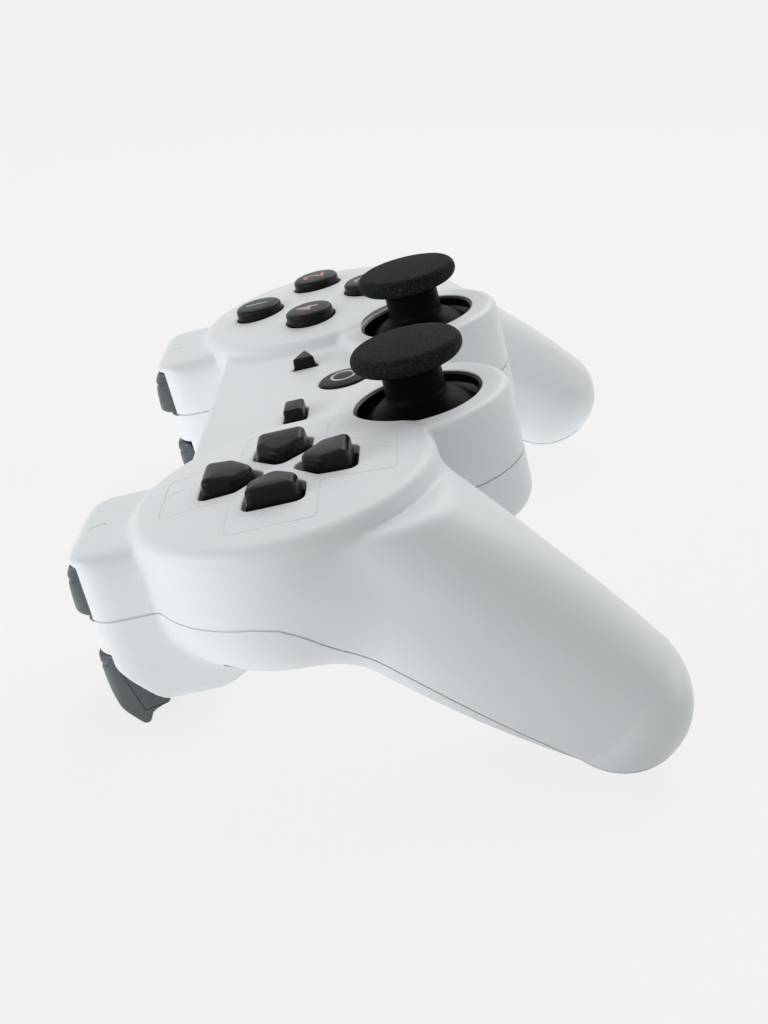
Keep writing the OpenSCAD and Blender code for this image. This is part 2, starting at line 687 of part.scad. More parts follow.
// Stick modules, drawn about the tilt centre
module at_stick() {
    translate([stick_x, stick_y, pivot_z]) children();
}
base_z = board_top - pivot_z;
module slot_hole() {
    cylinder(r = trunnion_r + 0.15, h = 2, center = true, $fn = 32);
    translate([-trunnion_r - 0.15, -0.75, -1]) cube([2 * trunnion_r + 0.3, 0.75, 2]);
    translate([0, -0.75, 0]) cylinder(r = trunnion_r + 0.15, h = 2, center = true, $fn = 32);
}
module stick_frame() at_stick() difference() {
    union() {
        box(-frame_x, frame_x, -frame_y, frame_y, base_z, base_z + plate_t);
        for (m = [-1, 1]) {
            in = m > 0 ? plate_t : 0;
            out = m > 0 ? 0 : plate_t;
            box(m * frame_x - in, m * frame_x + out, -plate_half, plate_half, base_z, 2.2);
            box(-plate_half, plate_half, m * frame_y - in, m * frame_y + out, base_z, 2.2);
        }
    }
    for (m = [-1, 1]) {
        translate([m * (frame_x - plate_t / 2), 0, 0]) rotate([90, 0, 90]) slot_hole();
        translate([0, m * (frame_y - plate_t / 2), 0]) rotate([90, 0, 0]) slot_hole();
    }
}
module right_stick_frame() place() color(steel) stick_frame();
module left_stick_frame() place() color(steel) left() stick_frame();
module stick_sensors() at_stick() {
    box(frame_x + 0.9, frame_x + 3.4, -4.4, 4.4, base_z, 0.2);
    box(-4.4, 4.4, -frame_y - 2.4, -frame_y - 0.9, base_z, 0.2);
}
module right_stick_sensors() place() color(black) stick_sensors();
module left_stick_sensors() place() color(black) left() stick_sensors();
module stick_switch() at_stick() {
    box(-11, -frame_x - 0.3, -2.4, 2.4, base_z, base_z + 2.6);
    translate([-9.2, 0, base_z + 2.4]) cylinder(r = 1.1, h = 0.9, $fn = 28);
}
module right_stick_switch() place() color(black) stick_switch();
module left_stick_switch() place() color(black) left() stick_switch();
module stick_spring() at_stick() {
    z0 = base_z + plate_t + 0.3;
    z1 = slider_top - slider_t - pivot_z - 0.35;
    coil = [for (i = [0 : 24]) [3.6 * cos(30 * i), 3.6 * sin(30 * i), z0 + (z1 - z0) * i / 24]];
    wire(coil, 0.28, [0, 0, 1], 5);
}
module right_stick_spring() place() color(steel) stick_spring();
module left_stick_spring() place() color(steel) left() stick_spring();
module stick_slider() at_stick() translate([0, 0, slider_top - slider_t - pivot_z]) {
    cylinder(r = slider_r, h = slider_t, $fn = 40);
    box(-frame_x + plate_t + 0.3, frame_x - plate_t - 0.3, -2, 2, 0, slider_t);
}
module right_stick_slider() place() color(white) stick_slider();
module left_stick_slider() place() color(white) left() stick_slider();
module stick_yoke() at_stick() difference() {
    union() {
        box(-yoke_x, yoke_x, -yoke_y, yoke_y, -yoke_h, yoke_h);
        translate([-frame_x - 0.2, 0, 0]) rotate([0, 90, 0])
            cylinder(r = trunnion_r - 0.05, h = 2 * frame_x + 0.4, $fn = 40);
    }
    box(-3.6, 3.6, -lever_r - 0.3, lever_r + 0.3, -5, 5);
    translate([0, -10, 0]) rotate([-90, 0, 0]) cylinder(r = lever_pin_r + pin_gap, h = 20, $fn = 32);
}
module right_stick_yoke() place() color(black) stick_yoke();
module left_stick_yoke() place() color(black) left() stick_yoke();
module stick_cross_yoke() at_stick() difference() {
    union() {
        intersection() {
            rotate([0, 90, 0]) difference() {
                cylinder(r = arch_out, h = 2 * arch_half, center = true, $fn = 64);
                cylinder(r = arch_in, h = 2 * arch_half + 1, center = true, $fn = 64);
            }
            box(-10, 10, -10, 10, -trunnion_r, 10);
        }
        for (m = [-1, 1]) translate([0, m > 0 ? arch_in + 0.4 : -frame_y - 0.2, 0]) rotate([-90, 0, 0])
            cylinder(r = trunnion_r - 0.05, h = frame_y + 0.2 - arch_in - 0.4, $fn = 40);
    }
    box(-lever_r - 0.15, lever_r + 0.15, -4.4, 4.4, 3, 10);
}
module right_stick_cross_yoke() place() color(black) stick_cross_yoke();
module left_stick_cross_yoke() place() color(black) left() stick_cross_yoke();
module stick_lever() at_stick() {
    translate([0, 0, -1.4]) cylinder(r = lever_r, h = lever_top - pivot_z + 1.4, $fn = 40);
    translate([0, -yoke_y + 0.2, 0]) rotate([-90, 0, 0])
        cylinder(r = lever_pin_r, h = 2 * yoke_y - 0.4, $fn = 32);
}
module right_stick_lever() place() color(steel) stick_lever();
module left_stick_lever() place() color(steel) left() stick_lever();
module thumb_cap() at_stick() {
    rim = cap_height - pivot_z;
    stem_in = asin(stem_r / skirt_r);
    shaft_top = lever_top - pivot_z;
    bore = lever_r + pin_gap;
    rotate_extrude($fn = 72) polygon(concat(
        [[0, shaft_top], [bore, shaft_top], [bore, sqrt(pow(skirt_r - skirt_t, 2) - bore * bore)]],
        arc(0, 0, skirt_r - skirt_t, 90 - asin(bore / (skirt_r - skirt_t)), 90 - skirt_angle, 10),
        arc(0, 0, skirt_r, 90 - skirt_angle, 90 - stem_in, 10),
        [[stem_r, rim - 3], [stem_r + 0.6, rim - 2.1], [cap_r - 1.8, rim - 1.9]],
        arc(cap_r - 1.6, rim, 1.6, -80, 70, 8),
        [for (i = [1 : 4]) [(cap_r - 1.1) * (1 - i / 4), rim + 1.5 + 0.4 * (1 - pow(1 - i / 4, 2))]]));
}
module right_thumb_cap() place() color(black) thumb_cap();
module left_thumb_cap() place() color(black) left() thumb_cap();

// Rumble motors
module motor() on_grip(motor_x, motor_s, motor_n) difference() {
    cylinder(r = motor_r, h = motor_len, $fn = 56);
    translate([0, 0, 2]) cylinder(r = shaft_r + pin_gap, h = 20, $fn = 32);
}
module right_motor() place() color(steel) motor();
module left_motor() place() color(steel) left() motor();
module motor_shaft() on_grip(motor_x, motor_s + motor_len - 11, motor_n)
    cylinder(r = shaft_r, h = 11 + shaft_len, $fn = 32);
module right_motor_shaft() place() color(steel) motor_shaft();
module left_motor_shaft() place() color(steel) left() motor_shaft();
module weight() on_grip(motor_x, weight_s, motor_n) difference() {
    union() {
        cylinder(r = 2.6, h = weight_len, $fn = 36);
        intersection() {
            cylinder(r = weight_r, h = weight_len, $fn = 56);
            translate([-10, -10, 0]) cube([20, 10, 20]);
        }
    }
    translate([0, 0, -1]) cylinder(r = shaft_r, h = 20, $fn = 32);
}
module right_weight() place() color(steel) weight();
module left_weight() place() color(steel) left() weight();
module motor_lead() for (d = [0, 1.5]) wire([g3(motor_x - 1.5 + d, motor_s, 6),
    g3(motor_x - 2 + d, motor_s - 3, 6),
    [55, -15 - d, -14.5], [45, -8 - d, -15], [37, -4.2 - d, -17], [33.4, -3 - d, -18.9]], 0.5, [0, 0, 1]);
module right_motor_lead() place() color(red_wire) motor_lead();
module left_motor_lead() place() color(red_wire) left() motor_lead();

top_shell();
bottom_shell();
inner_frame();
main_board();
battery();
battery_lead();
usb_socket();
light_guide();
case_screws();
dpad_rubber();
face_rubber();
middle_rubber();
dpad_seat();
dpad();
rear_face_button();
right_face_button();
front_face_button();
left_face_button();
select_button();
start_button();
home_button();
left_bumper();
right_bumper();
left_bumper_rubber();
right_bumper_rubber();
left_trigger();
right_trigger();
left_trigger_pin();
right_trigger_pin();
left_trigger_spring();
right_trigger_spring();
left_stick_frame();
right_stick_frame();
left_stick_sensors();
right_stick_sensors();
left_stick_switch();
right_stick_switch();
left_stick_spring();
right_stick_spring();
left_stick_slider();
right_stick_slider();
left_stick_yoke();
right_stick_yoke();
left_stick_cross_yoke();
right_stick_cross_yoke();
left_stick_lever();
right_stick_lever();
left_thumb_cap();
right_thumb_cap();
left_motor();
right_motor();
left_motor_shaft();
right_motor_shaft();
left_weight();
right_weight();
left_motor_lead();
right_motor_lead();
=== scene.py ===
"""A white two-grip wireless gamepad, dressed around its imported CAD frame."""

import json
import math

import bpy
import numpy as np
from mathutils import Matrix, Vector


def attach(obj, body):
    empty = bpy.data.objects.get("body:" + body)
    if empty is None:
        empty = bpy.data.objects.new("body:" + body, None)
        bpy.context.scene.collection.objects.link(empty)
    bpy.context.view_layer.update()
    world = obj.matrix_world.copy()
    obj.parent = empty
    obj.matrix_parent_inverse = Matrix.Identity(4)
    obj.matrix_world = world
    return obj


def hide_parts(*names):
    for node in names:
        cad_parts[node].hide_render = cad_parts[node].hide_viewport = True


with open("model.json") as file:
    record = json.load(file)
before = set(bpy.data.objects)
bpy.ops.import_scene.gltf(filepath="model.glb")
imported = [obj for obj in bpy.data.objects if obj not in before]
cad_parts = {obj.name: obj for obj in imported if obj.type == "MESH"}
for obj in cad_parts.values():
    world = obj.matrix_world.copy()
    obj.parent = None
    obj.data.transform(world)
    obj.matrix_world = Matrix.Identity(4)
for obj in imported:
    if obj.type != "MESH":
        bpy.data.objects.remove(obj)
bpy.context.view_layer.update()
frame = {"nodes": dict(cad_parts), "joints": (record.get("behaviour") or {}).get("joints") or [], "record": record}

# Sizes of the pad in millimetres: X to the player's right, Y away from the player, Z up from the pod tops
MM = 0.001
WALL = 1.6
POD_X = 47.7
POD_R = 25.6
POD_FLOOR = -26.0
POD_EDGE = 2.4
POD_DOME = 1.2
POD_BOWL = 12.0
STICK_X = 23.6
STICK_Y = -22.6
TOWER_R = 16.2
TOWER_TOP = -0.5
TOWER_FLOOR = -24.0
TOWER_EDGE = 1.6
TOWER_BOWL = 4.0
STICK_HOLE_R = 11.0
PLATE_TOP = -2.2
PLATE_FLOOR = -25.5
PLATE_REAR = 19.0
PLATE_EDGE = 1.0
PLATE_PLAN = [(-42, 19), (-42, -8), (-23.6, -27), (23.6, -27), (42, -8), (42, 19)]
SEAM_Z = -13.4
SPLIT_X = 40.0
SEAM_GAP = 0.02
SEAM_HALF = 0.17
SEAM_DEPTH = 0.3

# How far cutters reach beyond the pad, and how far two that meet overlap
REACH_SIDE = 120
REACH_OUT = 100
REACH_UP = 60
CUT_ABOVE = 3
OVERLAP = 0.1

# Widths over which the housing's forms flow together; pod and grip flow more below a depth
GRIP_MERGE = 1.3
GRIP_MERGE_MORE = 3.2
GRIP_MERGE_FROM = 4.0
GRIP_MERGE_OVER = 8.0
TOWER_MERGE = 1.0
PLATE_MERGE = 1.2
SHOULDER_MERGE = 1.0
DOME_FADE = 6.0

# Grips, measured along their slope (s) and square to it (n)
GRIP_SLOPE = math.radians(47)
GRIP_START = 3.0
GRIP_LEN = 60.0
GRIP_END_R = 11.6
GRIP_TOP = -3.2
GRIP_TOP_BLEND = 1.6
GRIP_OUT = 1.9
GRIP_SPLAY = 0.36
GRIP_BEND = 0.0013
GRIP_SPARE = 0.1
GRIP_WIDEN = 0.137
GRIP_MIDDLE = 5.35
GRIP_DROP = 0.108
GRIP_SWELL = 4.6
GRIP_POWER_U = 2.22
GRIP_POWER_V = 2.105
FULLER = 0.9
FULLER_END = 40.0
FULLER_OVER = 25.0
ALONG = np.array((-math.cos(GRIP_SLOPE), -math.sin(GRIP_SLOPE)))
ACROSS = np.array((-math.sin(GRIP_SLOPE), math.cos(GRIP_SLOPE)))

# Shoulder blocks with the bumpers and triggers
SHOULDER_X = 46.1
SHOULDER_HALF = 14.0
SHOULDER_REAR = 36.0
SHOULDER_TOP = -1.9
SHOULDER_FLOOR = -29.8
SHOULDER_EDGE = 0.5
SHOULDER_TOP_EDGE = 4.0
SHOULDER_FLOOR_EDGE = 2.4
SHOULDER_OUTER_CORNER = 7.5
SHOULDER_INNER_CORNER = 8.5
BAR_TOP = -13.8
BAR_FLOOR = -19.8
BUMPER_HALF = 11.2
BUMPER_REAR = 38.3
BUMPER_CORNER = 6.5
BUMPER_GAP = 0.34
TRIGGER_HALF = 12.0
TRIGGER_CORNER = 5.5
BUMPER_TOP = -3.9
BUMPER_FLOOR = -13.2
MOUTH_Y = 22.4
HINGE_Y = 29.2
HINGE_Z = -17.2
LIP_Y = 31.7
LIP_Z = -33.97

# Sticks, direction pad and buttons
CAP_R = 9.9
CAP_Z = 8.0
STEM_R = 5.3
PIVOT_Z = -13.4
SKIRT_R = 14.4
SKIRT_T = 1.2
SKIRT_ANGLE = 57
FACE_R = 5.0
FACE_RING = 12.2
FACE_TOP = 3.0
DPAD_REACH = 12.4
DPAD_HALF = 4.3
DPAD_TOP = 3.6
DPAD_TIP = 2.9
DPAD_PLATE = (-5.1, -3.9)
ROCKER_GAP = 0.75
BUTTON_GAP = 0.35
SMALL_X = 14.4
SMALL_Y = 0.4
SMALL_TOP = -0.1
SELECT_HALF = (2.8, 1.8)
START_HALF = (2.8, 2.4)
START_TIP = 3
HOME_Y = -8.0
HOME_R = 4.7
LIGHTS = (-12, -7, 7, 12)
LIGHT_Z = -9.2
SCREWS = [(64.7, 11.5, -18.0), (-64.7, 11.5, -18.0), (65.3, -12.0, -26.5), (-65.3, -12.0, -26.5),
          (0.0, -21.6, -19.6)]
SCREW_RECESS_R = 2.6
BOSS_R = 3.6

# Where the pad lies: the home button travels along its own up, and the direction pad turns about its seat
JOINTS = {j["name"]: j for j in frame["joints"]}
UP = -Vector(JOINTS["home_press"]["axis"])
TILT = math.atan2(UP.y, UP.z)
TURN = Matrix.Rotation(-TILT, 4, "X")
SEAT = Vector((-POD_X, 0, -5.0))
PAD = Matrix.Translation(Vector(JOINTS["dpad_pitch"]["pos_m"]) - TURN @ (SEAT * MM)) @ TURN


# Flat outlines
def wound(points):
    """The outline as an array that runs anticlockwise."""
    flat = np.array(points, float)
    after = np.roll(flat, -1, 0)
    area = np.sum(flat[:, 0] * after[:, 1] - flat[:, 1] * after[:, 0])
    return flat if area > 0 else flat[::-1]


def corners(points):
    """For each corner of an outline: its point, the outward normals before and after it, and its turn."""
    flat = wound(points)
    edge = np.roll(flat, -1, 0) - flat
    edge /= np.linalg.norm(edge, axis=1)[:, None]
    before = np.roll(edge, 1, 0)
    turn = np.sign(before[:, 0] * edge[:, 1] - before[:, 1] * edge[:, 0])
    normal_before = np.stack((before[:, 1], -before[:, 0]), 1)
    normal_after = np.stack((edge[:, 1], -edge[:, 0]), 1)
    return flat, normal_before, normal_after, turn


def moved_out(points, amount):
    """The outline with every side moved outwards, its corners kept sharp."""
    flat, first, second, _ = corners(points)
    spread = 1 + np.sum(first * second, axis=1)
    return flat + amount * (first + second) / spread[:, None]


def rounded(points, radius, grow=0.0, steps=6):
    """The outline with its corners rounded, by one radius or one each, then moved outwards by grow."""
    flat, first, second, turn = corners(points)
    radii = np.broadcast_to(radius, len(flat))
    out = []
    for point, a, b, way, radius in zip(flat, first, second, turn, radii):
        centre = point - way * radius * (a + b) / (1 + a @ b)
        start = math.atan2(way * a[1], way * a[0])
        sweep = math.atan2(a[0] * b[1] - a[1] * b[0], a @ b)
        for i in range(steps + 1):
            angle = start + sweep * i / steps
            out.append(centre + (radius + way * grow) * np.array((math.cos(angle), math.sin(angle))))
    return np.array(out)


def finer(points, long=1.0, count=12):
    """The outline with points added along its long sides."""
    out = []
    for a, b in zip(points, np.roll(points, -1, 0)):
        parts = count if np.linalg.norm(b - a) > long else 1
        out.extend(a + (b - a) * i / parts for i in range(parts))
    return np.array(out)


def curve_through(points, steps=5):
    """A smooth line through points."""
    p = np.array(points, float)
    p = np.concatenate((2 * p[:1] - p[1:2], p, 2 * p[-1:] - p[-2:-1]))
    out = []
    for i in range(1, len(p) - 2):
        for k in range(steps):
            t = k / steps
            a, b, c, d = p[i - 1:i + 3]
            bend = (2 * a - 5 * b + 4 * c - d) * t ** 2 + (3 * b - a - 3 * c + d) * t ** 3
            out.append(b + 0.5 * (c - a) * t + 0.5 * bend)
    out.append(p[-2])
    return np.array(out)


# Distances to solids, negative inside
def soft_min(a, b, k):
    h = np.clip(0.5 + 0.5 * (b - a) / k, 0, 1)
    return b + (a - b) * h - k * h * (1 - h)


def soft_max(a, b, k):
    return -soft_min(-a, -b, k)


def round_and(a, b, edge):
    """Where two solids overlap, with the edge between them rounded."""
    qa = a + edge
    qb = b + edge
    return np.minimum(np.maximum(qa, qb), 0) + np.hypot(np.maximum(qa, 0), np.maximum(qb, 0)) - edge


def to_outline(u, v, points, edge=0.0):
    """Distance to a flat outline whose outer corners are rounded by edge."""
    flat = moved_out(points, -edge) if edge else wound(points)
    best = np.full(u.shape, np.inf)
    inside = np.zeros(u.shape, bool)
    for (ax, ay), (bx, by) in zip(flat, np.roll(flat, -1, 0)):
        ex, ey = bx - ax, by - ay
        wx, wy = u - ax, v - ay
        t = np.clip((wx * ex + wy * ey) / (ex * ex + ey * ey), 0, 1)
        best = np.minimum(best, (wx - ex * t) ** 2 + (wy - ey * t) ** 2)
        if ay != by:
            inside ^= ((ay > v) != (by > v)) & (wx < ex * wy / ey)
    return np.where(inside, -1, 1) * np.sqrt(best) - edge


def round_block(x, y, z, centre, radius, top, floor, top_edge, floor_edge):
    """Distance to an upright round block with its own edge radius above and below."""
    middle = (top + floor) / 2
    edge = np.where(z > middle, top_edge, floor_edge)
    around = np.hypot(x - centre[0], y - centre[1]) - radius
    return round_and(around, np.abs(z - middle) - (top - floor) / 2, edge)


def pod_rise(x, y):
    """Height of the low dome on top of a pod."""
    out = np.hypot(np.abs(x) - POD_X, y) / (POD_R - POD_EDGE)
    return POD_DOME * np.maximum(1 - out ** 2, 0)


def grip_level(x, y, z):
    """A measure that is 1 on the grip's skin."""
    s = y * ALONG[0] + z * ALONG[1]
    n = y * ACROSS[0] + z * ACROSS[1]
    c = np.clip(s, GRIP_START, GRIP_LEN)
    bow = np.clip(s, GRIP_START, GRIP_LEN + GRIP_END_R)
    left = GRIP_LEN - c
    u = x - (POD_X + GRIP_OUT + GRIP_SPLAY * bow - GRIP_BEND * bow ** 2)
    u = u / (GRIP_END_R + GRIP_SPARE + GRIP_WIDEN * left)
    v = (n - (GRIP_MIDDLE - GRIP_DROP * left)) / (GRIP_END_R + GRIP_SWELL * (1 - (c / GRIP_LEN) ** 3))
    w = np.maximum(s - GRIP_LEN, 0) / GRIP_END_R
    fuller = FULLER * np.clip((FULLER_END - c) / FULLER_OVER, 0, 1) * np.clip(2 * v + 0.3, 0, 1)
    round_u = np.abs(u) ** (GRIP_POWER_U + fuller)
    round_v = np.abs(v) ** (GRIP_POWER_V + fuller)
    return np.sqrt(round_u + round_v + w ** 2 + 1e-9)


def grip_block(x, y, z):
    """Distance to a grip, from its level and how fast the level grows over a small step."""
    h = 0.4
    level = grip_level(x, y, z)
    slope = np.sqrt((grip_level(x + h, y, z) - level) ** 2 + (grip_level(x, y + h, z) - level) ** 2
                    + (grip_level(x, y, z + h) - level) ** 2) / h
    body = (level - 1) / np.maximum(slope, 0.02)
    start = GRIP_START - (y * ALONG[0] + z * ALONG[1])
    return soft_max(np.maximum(body, start), z - GRIP_TOP, GRIP_TOP_BLEND)


SHOULDER_SIDE = [(8, SHOULDER_TOP), (31, SHOULDER_TOP), (34.4, SHOULDER_TOP - 0.3),
                 (35.5, SHOULDER_TOP - 0.8), (35.9, SHOULDER_TOP - 1.7), (35.9, BAR_FLOOR),
                 (SHOULDER_REAR - 9.6, SHOULDER_FLOOR), (17, SHOULDER_FLOOR), (8, POD_FLOOR + 1)]


def shoulder_block(x, y, z):
    side = to_outline(y, z, SHOULDER_SIDE, SHOULDER_EDGE)
    across = np.abs(x - SHOULDER_X) - SHOULDER_HALF
    corner = np.where(x > SHOULDER_X, SHOULDER_OUTER_CORNER, SHOULDER_INNER_CORNER)
    plan = round_and(across, y - SHOULDER_REAR, corner)
    upper = round_and(across, z - SHOULDER_TOP, SHOULDER_TOP_EDGE)
    lower = round_and(across, SHOULDER_FLOOR - z, SHOULDER_FLOOR_EDGE)
    return soft_max(soft_max(np.maximum(upper, lower), plan, 1.2), side, 0.8)


def housing(p):
    """Distance to the pad's outer form."""
    x = np.abs(p[:, 0])
    y = p[:, 1]
    z = p[:, 2]
    level = z - pod_rise(x, y) * np.clip(1 + z / DOME_FADE, 0, 1)
    pod = round_block(x, y, level, (POD_X, 0), POD_R, 0, POD_FLOOR, POD_EDGE, POD_BOWL)
    tower = round_block(x, y, z, (STICK_X, STICK_Y), TOWER_R, TOWER_TOP, TOWER_FLOOR, TOWER_EDGE, TOWER_BOWL)
    half = (PLATE_TOP - PLATE_FLOOR) / 2
    plate = round_and(to_outline(x, y, PLATE_PLAN), np.abs(z - PLATE_TOP + half) - half, PLATE_EDGE)
    merge = GRIP_MERGE + GRIP_MERGE_MORE * np.clip((-z - GRIP_MERGE_FROM) / GRIP_MERGE_OVER, 0, 1)
    body = soft_min(pod, grip_block(x, y, z), merge)
    body = soft_min(body, tower, TOWER_MERGE)
    body = soft_min(body, plate, PLATE_MERGE)
    return soft_min(body, shoulder_block(x, y, z), SHOULDER_MERGE)


def hollow(p):
    """Distance to the space inside the walls, less the screw posts."""
    inside = housing(p) + WALL
    for sx, sy, _ in SCREWS:
        inside = np.maximum(inside, BOSS_R - np.hypot(p[:, 0] - sx, p[:, 1] - sy))
    return inside


BUMPER_SIDE = [(31.2, BUMPER_TOP), (35.5, BUMPER_TOP), (36.7, -5.6), (37.6, -8.8), (BUMPER_REAR, -12.3),
               (BUMPER_REAR - 0.3, BUMPER_FLOOR), (31.2, BUMPER_FLOOR)]
TRIGGER_SIDE = [(36.1, -20.3), (36.7, -22.5), (36.8, -25), (36.4, -28), (35.4, -30.6), (33.3, LIP_Z + 1.4),
                (32.3, LIP_Z + 0.35), (LIP_Y, LIP_Z), (30.8, LIP_Z + 0.3), (30, LIP_Z + 1.8), (29.1, -31.6),
                (27.9, -31.1), (26.5, -30.7), (26.6, -29), (28.5, -26.4), (31.4, -22.4), (33.3, -20.3)]
TRIGGER_CREASE = ((33.4, -20.6), (30.9, -31.2))
TRIGGER_ARM = [(HINGE_Y - 2.3, HINGE_Z), (HINGE_Y + 2.3, HINGE_Z), (33.4, -21.5), (28.2, -27)]
TRIGGER_LEAN = math.radians(14)
HUB_R = 2.5
PIN_R = 1.3
KNUCKLE = (5.0, 9.6)

# Grooves across the caps: height at the y given below, lean and half width; then the bumper's plunger
BUMPER_GROOVE = (-6.9, 0.25, 0.34)
BUMPER_GROOVE_Y = 37
TRIGGER_GROOVE = (-22.5, 0.3, 0.36)
TRIGGER_GROOVE_Y = 36
TRIGGER_GROOVE_START = 33.6
GROOVE_DEPTH = 0.4
PLUNGER_MIDDLE = (30.6, -8.5)
PLUNGER_HALF = (3, 1.6, 2)


def bumper_block(p):
    """Distance to a bumper's cap with its groove, and the plunger behind it."""
    x, y, z = p.T
    across = np.abs(np.abs(x) - SHOULDER_X)
    plan = round_and(across - BUMPER_HALF, y - BUMPER_REAR, BUMPER_CORNER)
    skin = round_and(to_outline(y, z, BUMPER_SIDE, 0.45), plan, 0.7)
    height, lean, half = BUMPER_GROOVE
    groove = np.maximum(np.abs(z - height + lean * (y - BUMPER_GROOVE_Y)) - half, -GROOVE_DEPTH - skin)
    flat = np.maximum(across - PLUNGER_HALF[0], np.abs(z - PLUNGER_MIDDLE[1]) - PLUNGER_HALF[2])
    plunger = np.maximum(flat, np.abs(y - PLUNGER_MIDDLE[0]) - PLUNGER_HALF[1])
    return np.minimum(soft_max(skin, -groove, 0.25), plunger)


def trigger_block(p):
    """Distance to a trigger's blade with its groove, and the knuckles that carry it on its pin."""
    x, y, z = p.T
    across = np.abs(np.abs(x) - SHOULDER_X)
    plan = round_and(across - TRIGGER_HALF, y - SHOULDER_REAR - 1, TRIGGER_CORNER)
    skin = round_and(to_outline(y, z, TRIGGER_SIDE, 0.35), plan, 0.5)
    (ay, az), (by, bz) = TRIGGER_CREASE
    length = math.hypot(by - ay, bz - az)
    behind = ((y - ay) * (az - bz) + (z - az) * (by - ay)) / length
    bevel = (across - TRIGGER_HALF) * math.cos(TRIGGER_LEAN) + behind * math.sin(TRIGGER_LEAN)
    skin = soft_max(skin, bevel, 0.3)
    height, lean, half = TRIGGER_GROOVE
    shallow = np.maximum(-GROOVE_DEPTH - skin, TRIGGER_GROOVE_START - y)
    groove = np.maximum(np.abs(z - height + lean * (y - TRIGGER_GROOVE_Y)) - half, shallow)
    skin = soft_max(skin, -groove, 0.2)
    arm = to_outline(y, z, TRIGGER_ARM)
    hub = np.hypot(y - HINGE_Y, z - HINGE_Z)
    knuckle = np.maximum(np.minimum(arm, hub - HUB_R), np.maximum(across - KNUCKLE[1], KNUCKLE[0] - across))
    return np.maximum(soft_min(skin, knuckle, 0.4), PIN_R - hub)


# Meshes from distances
OCTANT = np.array([(i >> 2 & 1, i >> 1 & 1, i & 1) for i in range(8)])
CELL_EDGES = [(a, b) for a in range(8) for b in range(a + 1, 8) if np.abs(OCTANT[a] - OCTANT[b]).sum() == 1]


def slope_of(distance, points, h=0.05):
    """The outward direction of a distance at points."""
    out = np.empty_like(points)
    for axis in range(3):
        step = np.zeros(3)
        step[axis] = h
        out[:, axis] = distance(points + step) - distance(points - step)
    return out / np.maximum(np.linalg.norm(out, axis=1), 1e-9)[:, None]


def skin_of(distance, low, high, step, levels=3):
    """A quad mesh of the surface where a distance is nought."""
    low = np.array(low, float)
    counts = np.ceil((np.array(high) - low) / (step * 2 ** levels)).astype(int)
    cells = np.stack(np.meshgrid(*[np.arange(n) for n in counts], indexing="ij"), -1).reshape(-1, 3)
    for level in range(levels, -1, -1):
        width = step * 2 ** level
        cells = cells[np.abs(distance(low + (cells + 0.5) * width)) < 1.25 * width]
        if level:
            cells = (cells[:, None] * 2 + OCTANT).reshape(-1, 3)
    dims = counts * 2 ** levels + 2

    def key(ijk):
        return (ijk[..., 0] * dims[1] + ijk[..., 1]) * dims[2] + ijk[..., 2]

    points, where = np.unique(key(cells[:, None] + OCTANT), return_inverse=True)
    value = distance(low + np.stack(np.unravel_index(points, dims), -1) * step)
    value = value[where].reshape(-1, 8)
    inside = value < 0
    active = inside.any(1) & ~inside.all(1)
    cells = cells[active]
    value = value[active]
    total = np.zeros((len(cells), 3))
    count = np.zeros(len(cells))
    for a, b in CELL_EDGES:
        cross = (value[:, a] < 0) != (value[:, b] < 0)
        t = value[cross, a] / (value[cross, a] - value[cross, b])
        total[cross] += OCTANT[a] + t[:, None] * (OCTANT[b] - OCTANT[a])
        count[cross] += 1
    verts = low + (cells + total / count[:, None]) * step
    for _ in range(2):
        shift = np.clip(distance(verts), -0.4 * step, 0.4 * step)
        verts -= shift[:, None] * slope_of(distance, verts)
    order = np.argsort(key(cells))
    keys = key(cells)[order]
    quads = []
    for axis in range(3):
        u = np.eye(3, dtype=int)[(axis + 1) % 3]
        w = np.eye(3, dtype=int)[(axis + 2) % 3]
        far = 4 >> axis
        for begins_inside in (True, False):
            cross = ((value[:, 0] < 0) == begins_inside) & ((value[:, far] < 0) != begins_inside)
            base = cells[cross]
            ring = [base, base - u, base - u - w, base - w]
            if not begins_inside:
                ring.reverse()
            quads.append(np.stack([order[np.searchsorted(keys, key(c))] for c in ring], -1))
    return verts, np.concatenate(quads).tolist()


# Meshes from outlines
def across_axis(points, axis, at):
    """Stands a flat outline across an axis: (y, z) across x, (z, x) across y, (x, y) across z."""
    u, v = np.array(points, float).T
    w = np.broadcast_to(np.asarray(at, float), u.shape)
    return np.stack({"x": (w, u, v), "y": (v, w, u), "z": (u, v, w)}[axis], -1)


def loft(rings):
    """A closed solid through rings of points."""
    n = len(rings[0])
    faces = []
    for k in range(len(rings) - 1):
        for i in range(n):
            j = (i + 1) % n
            faces.append((k * n + i, k * n + j, k * n + n + j, k * n + n + i))
    faces.append(tuple(range(n - 1, -1, -1)))
    last = (len(rings) - 1) * n
    faces.append(tuple(range(last, last + n)))
    return np.concatenate(rings), faces


def prism(points, axis, low, high):
    flat = wound(points)
    return loft([across_axis(flat, axis, low), across_axis(flat, axis, high)])


def block(low, high):
    (x0, y0, z0), (x1, y1, z1) = low, high
    return prism([(x0, y0), (x1, y0), (x1, y1), (x0, y1)], "z", z0, z1)


def turned(profile, centre=(0, 0), count=72):
    """A solid of revolution; its profile runs up from the axis to the axis again."""
    angle = np.arange(count) * 2 * math.pi / count
    rings = []
    for r, z in profile[1:-1]:
        x = centre[0] + r * np.cos(angle)
        y = centre[1] + r * np.sin(angle)
        rings.append(np.stack((x, y, np.full(count, z)), -1))
    verts, faces = loft(rings)
    faces = faces[:-2]
    foot = len(verts)
    ends = np.array([(*centre, profile[0][1]), (*centre, profile[-1][1])])
    last = (len(rings) - 1) * count
    for i in range(count):
        j = (i + 1) % count
        faces.append((foot, j, i))
        faces.append((foot + 1, last + i, last + j))
    return np.concatenate((verts, ends)), faces


